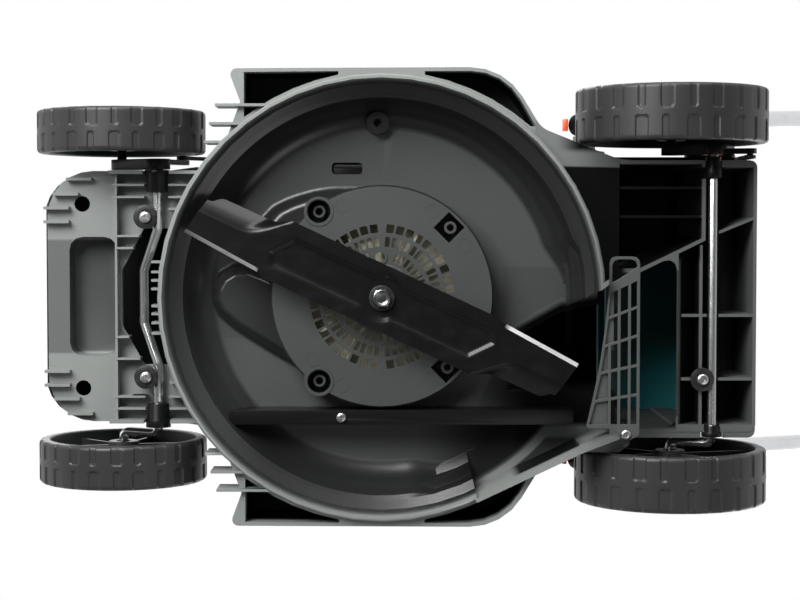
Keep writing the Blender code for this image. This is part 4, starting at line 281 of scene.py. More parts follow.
# Finishes
coatRough = {"plastic": 0.12, "metal": 0.08}
plastics = {     # colour, roughness, grain depth and size, shade, flow, coat, specular level
    "deckGrey": ((0.190, 0.203, 0.195), 0.46, 0.35, 700.0, 0.16, 0.10, 0.0, 0.5),
    # the plate's grey is the deck's grey darkened: painted shade for its place deep in the drum
    "plateShadedGrey": ((0.044, 0.048, 0.0455), 0.38, 0.30, 700.0, 0.22, 0.10, 0.0, 0.5),
    "grilleGrey": ((0.058, 0.064, 0.060), 0.44, 0.25, 800.0, 0.12, 0.06, 0.0, 0.5),
    "hoodTeal": ((0.004, 0.085, 0.088), 0.32, 0.15, 600.0, 0.10, 0.06, 0.25, 0.5),
    "flapTeal": ((0.008, 0.085, 0.092), 0.40, 0.20, 700.0, 0.12, 0.06, 0.0, 0.5),
    "blackPlastic": ((0.005, 0.005, 0.0053), 0.30, 0.30, 800.0, 0.20, 0.10, 0.0, 0.26),
    "handleBlack": ((0.013, 0.013, 0.0135), 0.50, 0.45, 500.0, 0.20, 0.08, 0.0, 0.5),
    "tyrePlastic": ((0.024, 0.0245, 0.0243), 0.36, 0.35, 650.0, 0.18, 0.12, 0.0, 0.42),
    "creamPlastic": ((0.52, 0.50, 0.38), 0.55, 0.20, 600.0, 0.14, 0.06, 0.0, 0.5),
    "orangePlastic": ((0.80, 0.10, 0.025), 0.34, 0.15, 700.0, 0.08, 0.05, 0.15, 0.5),
    "foamBlack": ((0.012, 0.012, 0.012), 0.88, 1.0, 340.0, 0.25, 0.04, 0.0, 0.5),
}
metals = {       # colour, worn colour, wear, roughness, spread, scratch size, metallic, coat, level
    "bladeBlack": ((0.0045, 0.0045, 0.0048), (0.012, 0.012, 0.0125), 0.30, 0.26, 0.12, 120.0,
                   0.0, 0.10, 0.26),
    "steelBlack": ((0.014, 0.014, 0.015), (0.10, 0.10, 0.10), 0.35, 0.34, 0.20, 150.0,
                   0.0, 0.0, 0.35),
    "groundSteel": ((0.78, 0.78, 0.77), (0.50, 0.50, 0.50), 0.40, 0.25, 0.25, 420.0, 1.0, 0.0, 0.5),
    "brightSteel": ((0.70, 0.70, 0.69), (0.38, 0.38, 0.37), 0.30, 0.26, 0.22, 220.0, 1.0, 0.0, 0.5),
    "boltSteel": ((0.24, 0.25, 0.25), (0.10, 0.10, 0.10), 0.45, 0.24, 0.22, 220.0, 1.0, 0.0, 0.5),
    "chromedSteel": ((0.86, 0.87, 0.88), (0.60, 0.60, 0.61), 0.20, 0.20, 0.20, 130.0,
                     1.0, 0.0, 0.5),
    "silverTube": ((0.72, 0.73, 0.74), (0.55, 0.56, 0.57), 0.25, 0.30, 0.18, 90.0, 1.0, 0.0, 0.5),
    "motorSteel": ((0.30, 0.30, 0.31), (0.16, 0.15, 0.14), 0.35, 0.38, 0.20, 140.0, 1.0, 0.0, 0.5),
    "copperWire": ((0.62, 0.22, 0.07), (0.30, 0.10, 0.04), 0.30, 0.30, 0.20, 300.0, 1.0, 0.0, 0.5),
    "castAluminium": ((0.52, 0.53, 0.54), (0.34, 0.34, 0.35), 0.30, 0.45, 0.20, 200.0,
                      1.0, 0.0, 0.5),
}


def newFinish(name, group, colour, pattern, shading):
    mat = bpy.data.materials.new(name)
    mat.use_nodes = True
    mat.diffuse_color = (*colour, 1.0)
    tree = mat.node_tree
    shader = tree.nodes["Principled BSDF"].inputs
    pattern = {"Colour": (*colour, 1.0), **pattern}
    skin = addNode(tree, "ShaderNodeGroup", pattern, node_tree=group).outputs
    tree.links.new(skin["Colour"], shader["Base Color"])
    tree.links.new(skin["Roughness"], shader["Roughness"])
    tree.links.new(skin["Normal"], shader["Normal"])
    for label, value in shading.items():
        shader[label].default_value = value
    return mat


def plastic(name, colour, rough, grain, size, shade, flow, coat, level):
    return newFinish(
        name, skinGroup, colour,
        {"Grain size": size, "Grain depth": grain, "Shade": shade, "Roughness": rough,
         "Flow": flow},
        {"Coat Weight": coat, "Coat Roughness": coatRough["plastic"],
         "Specular IOR Level": level})


def metal(name, colour, worn, wear, rough, spread, scratch, metallic, coat, level):
    return newFinish(
        name, scuffGroup, colour,
        {"Worn colour": (*worn, 1.0), "Wear": wear, "Scratch size": scratch, "Roughness": rough,
         "Spread": spread},
        {"Metallic": metallic, "Coat Weight": coat, "Coat Roughness": coatRough["metal"],
         "Specular IOR Level": level})


finishes = {name: plastic(name, *values) for name, values in plastics.items()}
finishes.update({name: metal(name, *values) for name, values in metals.items()})

# Painted shade and light on the deck's grey, in millimetres round the blade's axis; each pair is
# where a soft step starts and where it ends
deckShadeZones = {
    "drum": {"r": (176.5, 179.6), "z": (15.0, 24.0)},
    "ceiling": (84.0, 87.0),
    "outletEdge": [(-0.55, 88.7), (-0.205, 36.0), (-2.0, 254.0)],   # lines: slope and height
    "outlet": {"past": (-2.0, 6.0), "x": (60.0, 128.0), "y": (108.0, 114.0), "end": (246.0, 248.0)},
    "chamberWall": (174.0, 178.0),
    "underVolute": {"x": (20.0, 90.0), "y": (96.0, 112.0), "share": 0.85},
    "pocket": {"r": (183.0, 184.0), "x": (128.0, 140.0), "end": (284.0, 300.0), "y": (107.0, 109.0),
               "top": (190.0, 205.0)},
    "pocketDeep": {"z": (62.5, 66.0), "leftZ": (60.3, 60.5), "leftX": (266.0, 269.0),
                   "leftY": (-34.0, -26.0)},
    "pocketLow": {"x": (200.0, 206.0), "z": (15.0, 18.0)},
    "skirt": {"r": (184.0, 186.0), "z": (30.0, 42.0), "y": (118.0, 124.0)},
    "grip": {"x": (223.0, 228.0), "z": (50.0, 66.0), "y": (46.0, 50.0), "share": 0.72},
    # the drum's share darkens the drum as painted shade and grows towards the front as painted
    # light; the tail's share darkens the tail as painted shade
    "front": (-150.0, -90.0),
    "drumShadeShare": 0.085, "frontLightShare": 0.10, "drumRough": 0.28,
    "tail": (140.0, 200.0), "tailShadeShare": 0.42,
    # the near-black colour and lowered shine of the painted shadow
    "black": (0.0035, 0.0038, 0.0037, 1.0), "level": 0.5, "shadowLevel": -0.42,
}
# painted shade for the hood's inside: the span of the face's upward lean, and the shade colour
hoodShade = {"facing": (0.06, -0.02), "inside": (0.004, 0.0045, 0.0045, 1.0)}


def paintShadeInside(mat, s):
    # the chamber, duct and pockets are polished; their dark colour is painted shade, and the outlet
    # side is painted nearly black as painted shadow
    tree = mat.node_tree
    shader = tree.nodes["Principled BSDF"].inputs

    def past(value, span):
        return rampOf(tree, value, span)

    def short(value, span, share=1.0):
        return maths(tree, "SUBTRACT", share, past(value, span))

    def every(first, *more):
        for other in more:
            first = maths(tree, "MULTIPLY", first, other)
        return first

    def either(first, *more):
        for other in more:
            first = maths(tree, "MAXIMUM", first, other)
        return first

    place = addNode(tree, "ShaderNodeTexCoord").outputs["Object"]
    axes = addNode(tree, "ShaderNodeSeparateXYZ", {0: place}).outputs
    x = maths(tree, "MULTIPLY_ADD", axes["X"], 1.0 / mm, -deckX / mm)
    y, z = (maths(tree, "MULTIPLY", axes[axis], 1.0 / mm) for axis in "YZ")
    r = maths(tree, "SQRT", maths(tree, "ADD", every(x, x), every(y, y)))
    side = maths(tree, "ABSOLUTE", y)
    underCeiling = short(z, s["ceiling"])
    drum = every(short(r, s["drum"]["r"]), past(z, s["drum"]["z"]), underCeiling)

    edge = either(*(maths(tree, "MULTIPLY_ADD", x, *line) for line in s["outletEdge"]))
    spot = s["outlet"]
    wide = either(short(y, spot["y"]), short(r, s["chamberWall"]))
    outlet = every(past(maths(tree, "SUBTRACT", y, edge), spot["past"]), past(x, spot["x"]), wide)
    spot = s["underVolute"]
    below = every(past(x, spot["x"]), past(y, spot["y"]), short(r, s["chamberWall"]), spot["share"])
    outlet = every(either(outlet, below), short(x, s["outlet"]["end"]))

    spot = s["pocket"]
    pocket = every(past(r, spot["r"]), past(x, spot["x"]), short(x, spot["end"]),
                   short(side, spot["y"]), short(z, spot["top"]))
    spot = s["pocketDeep"]
    left = every(short(x, spot["leftX"]), short(y, spot["leftY"]))
    deep = either(past(z, spot["z"]), every(past(z, spot["leftZ"]), left))
    low = every(short(x, s["pocketLow"]["x"]), past(z, s["pocketLow"]["z"]))
    pocket = every(pocket, either(deep, low))

    spot = s["skirt"]
    hollow = every(past(r, spot["r"]), past(z, spot["z"]), underCeiling, past(side, spot["y"]))
    spot = s["grip"]
    grip = every(past(maths(tree, "MULTIPLY", x, -1.0), spot["x"]), past(z, spot["z"]),
                 short(side, spot["y"], spot["share"]))
    # black is the mask of painted shadow: the outlet side, pockets, skirt hollows and grip
    black = either(outlet, pocket, hollow, grip)

    plain = shader["Base Color"].links[0].from_socket
    # painted light at the drum's front, painted shade over the drum and the tail, then the painted
    # shadow over the black mask
    share = maths(tree, "MULTIPLY_ADD", short(x, s["front"]), s["frontLightShare"], s["drumShadeShare"])
    colour = mixed(tree, "RGBA", plain, scaled(tree, plain, s["tailShadeShare"]), past(x, s["tail"]))
    colour = mixed(tree, "RGBA", colour, scaled(tree, plain, share), drum)
    colour = mixed(tree, "RGBA", colour, s["black"], black)
    rough = mixed(tree, "FLOAT", shader["Roughness"].links[0].from_socket, s["drumRough"], drum)
    # the painted shadow also takes the shine off
    level = maths(tree, "MULTIPLY_ADD", black, s["shadowLevel"], s["level"])
    tree.links.new(colour, shader["Base Color"])
    tree.links.new(rough, shader["Roughness"])
    tree.links.new(level, shader["Specular IOR Level"])


def paintShadeBeneath(mat, s):
    # faces that look down are painted near-black: painted shade for the hood's unlit inside
    tree = mat.node_tree
    shader = tree.nodes["Principled BSDF"].inputs
    facing = addNode(tree, "ShaderNodeNewGeometry").outputs["True Normal"]
    height = addNode(tree, "ShaderNodeSeparateXYZ", {0: facing}).outputs["Z"]
    inside = rampOf(tree, height, s["facing"], kind="LINEAR")
    colour = mixed(tree, "RGBA", shader["Base Color"].links[0].from_socket, s["inside"], inside)
    tree.links.new(colour, shader["Base Color"])


paintShadeInside(finishes["deckGrey"], deckShadeZones)
paintShadeBeneath(finishes["hoodTeal"], hoodShade)

finishOf = {
    "deckGrey": ["deck_shell"],
    "plateShadedGrey": ["motor_plate"],
    "grilleGrey": ["discharge_grille"],
    "hoodTeal": ["motor_hood"],
    "flapTeal": ["rear_flap"],
    "blackPlastic": ["volute_insert", "front_axle_arm", "rear_axle_arm", "front_bush_left",
                     "front_bush_right", "rear_bush_left", "rear_bush_right", "handle_foot_left",
                     "handle_foot_right"],
    "handleBlack": ["carry_handle", "bail_lever", "switch_box"],
    "tyrePlastic": ["front_wheel_left", "front_wheel_right", "rear_wheel_left", "rear_wheel_right"],
    "creamPlastic": ["cooling_fan"],
    "orangePlastic": ["lever_knob", "handle_latch_left", "handle_latch_right", "quick_lever_left",
                      "quick_lever_right", "start_button"],
    "foamBlack": ["foam_grip"],
    "bladeBlack": ["cutting_blade"],
    "steelBlack": ["blade_washer", "front_axle_washer_left", "front_axle_washer_right",
                   "rear_axle_washer", "height_link", "adjuster_rod", "height_lever", "lever_rack"],
    "brightSteel": ["lower_bearing", "upper_bearing", "motor_shaft", "grille_screw", "volute_screw",
                    "front_axle_screw_left", "front_axle_screw_right", "rear_axle_screw",
                    "flap_pin"],
    "boltSteel": ["blade_bolt"],
    "chromedSteel": ["front_axle_rod", "rear_axle_rod"],
    "silverTube": ["lower_tube_left", "lower_tube_right", "upper_tube"],
    "motorSteel": ["motor_can", "stator_core", "rotor_core"],
    "copperWire": ["stator_winding"],
    "castAluminium": ["motor_bracket", "blade_hub"],
}
edgeShape = {
    "weld": 0.00001, "segments": 2,
    "sharp": 32.0,                                # degrees over which an edge stays sharp
    "nodeAngle": 35.0, "pieceAngle": 40.0,        # degrees over which an edge is rounded
    "radius": 0.25,
    "radiusOf": {"deck_shell": 0.5, "motor_hood": 0.8, "carry_handle": 1.5, "switch_box": 1.2,
                 "rear_flap": 0.4, "discharge_grille": 0.35, "foam_grip": 1.0,
                 "cutting_blade": 0.0},
}


def newShaper(name):
    # a geometry node group that takes one mesh and gives one back
    group = bpy.data.node_groups.new(name, "GeometryNodeTree")
    for way in ("INPUT", "OUTPUT"):
        group.interface.new_socket("Geometry", in_out=way, socket_type="NodeSocketGeometry")
    into = group.nodes.new("NodeGroupInput").outputs[0]
    out = group.nodes.new("NodeGroupOutput").inputs[0]
    return group, into, out


def makeSmoother(s):
    # keeps edges over the angle sharp and shades the rest round
    group, into, out = newShaper("smoothByAngle")
    angle = addNode(group, "GeometryNodeInputMeshEdgeAngle").outputs["Unsigned Angle"]
    low = addNode(group, "FunctionNodeCompare", {"A": angle, "B": math.radians(s["sharp"])},
                  data_type="FLOAT", operation="LESS_EQUAL").outputs["Result"]
    faces = addNode(group, "GeometryNodeSetShadeSmooth", {"Geometry": into}, domain="FACE")
    edges = addNode(group, "GeometryNodeSetShadeSmooth", {
        "Geometry": faces.outputs[0], "Shade Smooth": low}, domain="EDGE")
    group.links.new(edges.outputs[0], out)
    return group


smoothGroup = makeSmoother(edgeShape)


def finishEdges(piece, radius, angle, soft=True):
    if radius:
        bevel = piece.modifiers.new("edges", "BEVEL")
        bevel.width = radius * mm
        bevel.segments = edgeShape["segments"]
        bevel.limit_method = "ANGLE"
        bevel.angle_limit = math.radians(angle)
        bevel.use_clamp_overlap = True
    if soft:
        piece.modifiers.new("smooth", "NODES").node_group = smoothGroup


def dress(node, finish, s):
    piece = nodes[node]
    piece.data.materials.clear()
    piece.data.materials.append(finishes[finish])
    piece.modifiers.new("weld", "WELD").merge_threshold = s["weld"]
    finishEdges(piece, s["radiusOf"].get(node, s["radius"]), s["nodeAngle"])


for finish, names in finishOf.items():
    for node in names:
        dress(node, finish, edgeShape)
print("finishes on every node")


# Finer pieces, drawn in millimetres round the blade's axis and then moved into the frame
toFrame = Matrix.Translation((deckX, 0.0, 0.0)) @ Matrix.Scale(mm, 4)
mergeReach = 0.005


def newPiece(name, bm, finish, body, node, edges=0.0, more=(), soft=True):
    bmesh.ops.remove_doubles(bm, verts=bm.verts, dist=mergeReach)
    bmesh.ops.transform(bm, matrix=toFrame, verts=bm.verts)
    bmesh.ops.recalc_face_normals(bm, faces=bm.faces)
    mesh = bpy.data.meshes.new(name)
    bm.to_mesh(mesh)
    bm.free()
    piece = putInScene(name, mesh)
    for label in (finish, *more):
        mesh.materials.append(finishes[label])
    finishEdges(piece, edges, edgeShape["pieceAngle"], soft)
    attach(piece, body)
    if node:
        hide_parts(node)


def ease(low, high, value):
    t = min(1.0, max(0.0, (value - low) / (high - low)))
    return t * t * (3.0 - 2.0 * t)


def between(low, high, t):
    return low + (high - low) * t


def along(points, x):
    # straight lines through (x, y) points
    for (x0, y0), (x1, y1) in zip(points, points[1:]):
        if x <= x1:
            return between(y0, y1, max(0.0, (x - x0) / (x1 - x0)))
    return points[-1][1]


def vertsOf(made):
    # the new vertices in what an operator gives back
    return [e for e in made["geom"] if isinstance(e, bmesh.types.BMVert)]


def addSheet(bm, columns, rows):
    return bmesh.ops.create_grid(bm, x_segments=columns, y_segments=rows, size=1.0)["verts"]


def addBlock(bm, size, at, turn=0.0):
    made = bmesh.ops.create_cube(bm, size=1.0)["verts"]
    bmesh.ops.scale(bm, verts=made, vec=size)
    bmesh.ops.translate(bm, verts=made, vec=at)
    bmesh.ops.rotate(bm, verts=made, cent=(0, 0, 0), matrix=Matrix.Rotation(turn, 3, "Z"))


def addRing(bm, at, radius, steps):
    made = bmesh.ops.create_circle(bm, cap_ends=False, segments=steps, radius=radius)["verts"]
    bmesh.ops.translate(bm, verts=made, vec=(at[0], at[1], 0.0))
    return made


def addLoop(bm, points):
    verts = [bm.verts.new((x, y, 0.0)) for x, y in points]
    for a, b in zip(verts, verts[1:] + verts[:1]):
        bm.edges.new((a, b))


def spun(bm, at, profile, steps, start=0.0, sweep=2.0 * math.pi):
    # the (radius, height) outline turned round an upright axis, closed where the turn is full
    first = [bm.verts.new((at[0] + r * math.cos(start), at[1] + r * math.sin(start), z))
             for r, z in profile]
    line = [bm.edges.new((a, b)) for a, b in zip(first, first[1:])]
    bmesh.ops.spin(bm, geom=first + line, cent=(at[0], at[1], 0.0), axis=(0.0, 0.0, 1.0),
                   angle=sweep, steps=steps, use_merge=sweep == 2.0 * math.pi)


def thicken(bm, depth):
    # the filled sheet gets a far side and walls
    made = bmesh.ops.extrude_face_region(bm, geom=bm.faces[:])
    bmesh.ops.translate(bm, verts=vertsOf(made), vec=(0.0, 0.0, depth))


# Blade: one stamped bar, its ends narrower, ground along one edge and turned up along the other
bladeShape = {
    "turn": math.radians(25.1),
    "half": 169.4,
    "low": 24.0,                                  # underside of the flanks
    "recess": 2.0,                                # the middle panel lies deeper
    "panelHalf": 10.8,
    "slope": 4.6,                                 # width of the step down to the panel
    "swell": 16.0,                                # radius of the round seat under the washer
    "thick": 3.4,
    "grindWide": 3.2,
    "grindDeep": 2.6,
    "grindFrom": (97.0, 106.0),                   # how far out the grinding fades in
    "bright": {"far": (101.0, 169.0), "off": -0.4, "up": 0.2},     # faces that show bare steel
    # half widths over the distance from the axis, on the ground side and on the wing's side
    "edgeSide": [(0.0, 26.0), (87.0, 26.0), (91.0, 25.7), (95.5, 24.2), (106.0, 23.7),
                 (170.0, 19.6)],
    "wingSide": [(0.0, 26.0), (90.0, 26.0), (93.5, 25.6), (96.5, 24.6), (99.0, 23.0), (102.5, 20.9),
                 (106.5, 19.5), (112.0, 18.9), (157.0, 18.6), (160.0, 17.8), (162.5, 16.0),
                 (165.0, 12.8), (170.0, 12.0)],
    "lean": {"far": (113.0, 168.0), "about": -19.7, "share": 0.19},
    # the panel ends in a point, its two sides slanting back
    "panelEnd": {"far": 96.0, "about": -5.0, "wingSlope": 0.82, "edgeSlope": 0.65},
    "fold": {"far": 93.0, "across": 25.0, "way": (0.69, 0.72), "span": (-0.5, 9.0)},
    "wing": {"rise": 9.0, "from": 1.0, "wide": 16.0, "power": 1.25},
    "edgeRows": [0.0, 0.4, 1.6, 3.2, 3.9],        # finer rows beside each long edge
    "middleRows": 34, "columns": 210,
}


def makeBlade(s):
    bm = bmesh.new()
    edgeRows, middle = s["edgeRows"], s["middleRows"]
    across = [*edgeRows, *(i / middle for i in range(1, middle)), *edgeRows[::-1]]
    count, last = len(across) - 1, len(edgeRows) - 1
    addSheet(bm, s["columns"], count)
    made = bmesh.ops.extrude_face_region(bm, geom=bm.faces[:])
    for v in vertsOf(made):
        v.co.z = 1.0
    lean, end, fold, wing = s["lean"], s["panelEnd"], s["fold"], s["wing"]
    cos, sin = math.cos(s["turn"]), math.sin(s["turn"])
    for v in bm.verts:
        u = v.co.x * s["half"]
        side = 1.0 if u >= 0.0 else -1.0          # each half is the other one turned round
        index = int(round((v.co.y * side + 1.0) / 2.0 * count))
        far = abs(u)
        edgeSide, wingSide = along(s["edgeSide"], far), along(s["wingSide"], far)
        if index <= last:
            w = -edgeSide + across[index]
        elif index >= count - last:
            w = wingSide - across[index]
        else:
            w = between(-edgeSide + edgeRows[-1], wingSide - edgeRows[-1], across[index])
        # the end leans back towards the wing
        a = far - ease(*lean["far"], far) * (w - lean["about"]) * lean["share"]
        beside = w - end["about"]
        tip = end["far"] - beside * (end["wingSlope"] if beside > 0.0 else -end["edgeSlope"])
        out = max(abs(w) - s["panelHalf"], a - tip)
        out = min(out, math.hypot(a, w) - s["swell"])
        z = s["low"] + s["recess"] * (1.0 - ease(0.0, s["slope"], out))
        # past the slanted fold the wing turns up
        root = (a - fold["far"]) * fold["way"][0] + (w - fold["across"]) * fold["way"][1]
        raised = max(0.0, (w - wing["from"]) / wing["wide"]) ** wing["power"]
        z += wing["rise"] * ease(*fold["span"], root) * raised
        if v.co.z > 0.5:
            z += s["thick"]
        else:
            ground = ease(*s["grindFrom"], far) * max(0.0, 1.0 - (w + edgeSide) / s["grindWide"])
            z += s["grindDeep"] * ground
        x, y = a * side, w * side
        v.co = (x * cos - y * sin, x * sin + y * cos, z)
    bright = s["bright"]
    for f in bm.faces:
        c = f.calc_center_median()
        x, y = c.x * cos + c.y * sin, -c.x * sin + c.y * cos
        off = y * (1.0 if x >= 0.0 else -1.0) + along(s["edgeSide"], abs(x))
        if (bright["far"][0] < abs(x) < bright["far"][1] and off < s["grindWide"] + bright["off"]
                and c.z < s["low"] + s["grindDeep"] + bright["up"]):
            f.material_index = 1
    newPiece("bladeBar", bm, "bladeBlack", "spindle", "cutting_blade",
             more=("groundSteel",))


makeBlade(bladeShape)


# Motor plate: one flat sheet with three rings of slots, two screw wells and two square windows
plateShape = {
    "low": 54.7, "high": 57.7, "radius": 91.9, "hub": 24.6, "rimSteps": 288, "hubSteps": 64,
    "wells": [(-52.7, 71.1), (-52.7, -71.1)], "lobe": 12.5, "bore": 9.6, "boreSteps": 36,
    # slots: how many, inner and outer radius, width, and the wider web on each of the four axes
    "rings": [(40, 53.4, 60.6, 6.5, 9.5), (48, 41.8, 50.1, 4.0, 7.0), (44, 30.0, 38.0, 3.1, 0.0)],
    "webShare": 0.55, "corner": 0.9, "cornerSteps": 12,
    "windows": [(56.0, -57.7), (53.6, 59.4)], "windowSide": 18.4,
    "pins": [(-33.4, -75.7), (41.7, -71.1), (69.3, -42.3), (-57.7, 52.9), (-33.4, 74.6),
             (41.7, 70.4)],
    "eye": (-1.7, -33.0), "eyeRadius": 4.2, "eyeSteps": 24, "eyeClear": 5.0,
    "edges": 0.3,
}
furnitureShape = {
    "well": [(0.0, 70.0), (2.9, 70.0), (3.0, 62.4), (3.4, 62.0), (5.0, 62.0), (5.4, 62.4),
             (5.6, 69.4), (8.6, 69.4), (9.2, 68.8), (9.9, 54.6), (10.4, 54.0), (12.2, 54.0),
             (12.5, 54.4), (12.5, 72.0), (0.0, 72.0)],
    "window": [(3.0, 60.4), (3.0, 56.6), (5.2, 56.6), (5.2, 60.4)], "windowShift": 1.0,
    "hub": [(24.4, 57.0), (24.4, 53.9), (25.0, 53.5), (26.6, 53.5), (27.2, 53.9), (27.2, 57.0)],
    "pin": [(5.3, 54.8), (5.3, 54.45), (5.9, 54.45), (5.9, 54.8)],
    "eye": [(4.1, 57.0), (4.1, 53.8), (6.2, 53.8), (6.4, 57.0)],
    "wellShade": [(-1.0, 2.95), (5.5, 10.1)],          # between these radii the wells' deep faces are painted black: painted shade in the recess
    "steps": {"well": 48, "window": 28, "hub": 64, "pin": 32, "eye": 28},
}


def makePlate(s):
    bm = bmesh.new()
    for v in addRing(bm, (0.0, 0.0), s["radius"], s["rimSteps"]):
        # the round edge swells out round both wells
        way = Vector((v.co.x, v.co.y)).normalized()
        reach = s["radius"]
        for x, y in s["wells"]:
            near = way.x * x + way.y * y
            past = s["lobe"] ** 2 - (x * x + y * y - near * near)
            if near > 0.0 and past > 0.0:
                reach = max(reach, near + math.sqrt(past))
        v.co.x, v.co.y = way.x * reach, way.y * reach
    addRing(bm, (0.0, 0.0), s["hub"], s["hubSteps"])
    for at in s["wells"]:
        addRing(bm, at, s["bore"], s["boreSteps"])
    addRing(bm, s["eye"], s["eyeRadius"], s["eyeSteps"])
    quarter = math.pi / 2.0
    for count, low, high, wide, web in s["rings"]:
        each = count // 4
        for index in range(count):
            angle = 2.0 * math.pi * (index + 0.5) / count
            if web:
                gap = math.radians(web * s["webShare"])
                angle = quarter * (index // each) + gap / 2.0
                angle += (quarter - gap) / each * (index % each + 0.5)
            middle = (low + high) / 2.0
            spot = Vector((math.cos(angle), math.sin(angle))) * middle
            if not web and (spot - Vector(s["eye"])).length < s["eyeRadius"] + s["eyeClear"]:
                continue
            made = addRing(bm, (0.0, 0.0), s["corner"], s["cornerSteps"])
            bmesh.ops.rotate(bm, verts=made, cent=(0, 0, 0),
                             matrix=Matrix.Rotation(math.pi / s["cornerSteps"], 3, "Z"))
            for v in made:                        # the small ring is pulled out to a rounded slot
                v.co.x += math.copysign((high - low) / 2.0 - s["corner"], v.co.x)
                v.co.y += math.copysign(wide / 2.0 - s["corner"], v.co.y)
            turn = Matrix.Rotation(angle, 4, "Z") @ Matrix.Translation((middle, 0.0, 0.0))
            bmesh.ops.transform(bm, matrix=turn, verts=made)
    for at in s["windows"]:
        addRing(bm, at, s["windowSide"] * 0.7071, 4)     # a square by its corners
    bmesh.ops.triangle_fill(bm, edges=bm.edges[:], use_beauty=True)
    bmesh.ops.translate(bm, verts=bm.verts, vec=(0.0, 0.0, s["low"]))
    bmesh.ops.dissolve_limit(bm, angle_limit=0.01, verts=bm.verts, edges=[
        e for e in bm.edges if not e.is_boundary], use_dissolve_boundaries=False)
    thicken(bm, s["high"] - s["low"])
    newPiece("plateSheet", bm, "plateShadedGrey", "deck", "motor_plate", s["edges"],
             soft=False)


def makePlateFurniture(plate, s):
    bm = bmesh.new()
    spots = [("well", at) for at in plate["wells"]]
    spots += [("window", (x + s["windowShift"], y)) for x, y in plate["windows"]]
    spots += [("hub", (0.0, 0.0))] + [("pin", at) for at in plate["pins"]] + [("eye", plate["eye"])]
    for kind, at in spots:
        spun(bm, at, s[kind], s["steps"][kind])
    # faces deep in the wells take black plastic as painted shade
    for f in bm.faces:
        c = f.calc_center_median()
        near = min(math.hypot(c.x - x, c.y - y) for x, y in plate["wells"])
        if any(low < near < high for low, high in s["wellShade"]):
            f.material_index = 1
    newPiece("plateFurniture", bm, "plateShadedGrey", "deck", None,
             more=("blackPlastic",))


makePlate(plateShape)
makePlateFurniture(plateShape, furnitureShape)


# Bolt: hexagon head with a rounded rim round a hollow middle
boltShape = {
    "dish": [(0.0, 19.4), (2.6, 19.2), (4.4, 18.2), (5.4, 17.5), (6.2, 17.3), (7.0, 17.7),
             (7.5, 18.6)],
    "dishSteps": 36,
    "corner": 8.2, "sides": 6, "low": 18.5, "high": 22.6, "turn": 0.4,
    "shank": [(0.0, 22.3), (3.9, 22.3), (3.9, 38.8), (0.0, 38.8)], "shankSteps": 24,
    "edges": 0.35,
}


def makeBolt(s):
    bm = bmesh.new()
    spun(bm, (0.0, 0.0), s["dish"], s["dishSteps"])
    made = addRing(bm, (0.0, 0.0), s["corner"], s["sides"])
    bmesh.ops.rotate(bm, verts=made, cent=(0, 0, 0), matrix=Matrix.Rotation(s["turn"], 3, "Z"))
    bmesh.ops.translate(bm, verts=made, vec=(0.0, 0.0, s["low"]))
    face = bmesh.ops.contextual_create(bm, geom=made)["faces"]
    pushed = bmesh.ops.extrude_face_region(bm, geom=face)
    bmesh.ops.translate(bm, verts=vertsOf(pushed), vec=(0.0, 0.0, s["high"] - s["low"]))
    spun(bm, (0.0, 0.0), s["shank"], s["shankSteps"])
    newPiece("bladeBolt", bm, "boltSteel", "spindle", "blade_bolt", s["edges"])


makeBolt(boltShape)


# Screws: pan heads with a cross recess, on their own shanks
screwShape = {
    "headOf": {"grille_screw": 4.2, "volute_screw": 4.2, "front_axle_screw_left": 5.0,
               "front_axle_screw_right": 5.0, "rear_axle_screw": 5.0},
    "rim": 0.58, "rimSteps": 32,                  # shares of the head's radius
    "armEnd": (0.80, 0.78), "armHalf": 0.24, "heart": 0.30,    # shares of the rim's
    "starSteps": 16,                              # four points for each arm
    "deep": 1.5, "narrow": 0.7,
    "dome": [(0.80, 0.35), (0.94, 1.0), (1.0, 1.9), (1.0, 2.5)], "lift": 0.02,
    "shank": 1.9, "turn": 0.35,
}


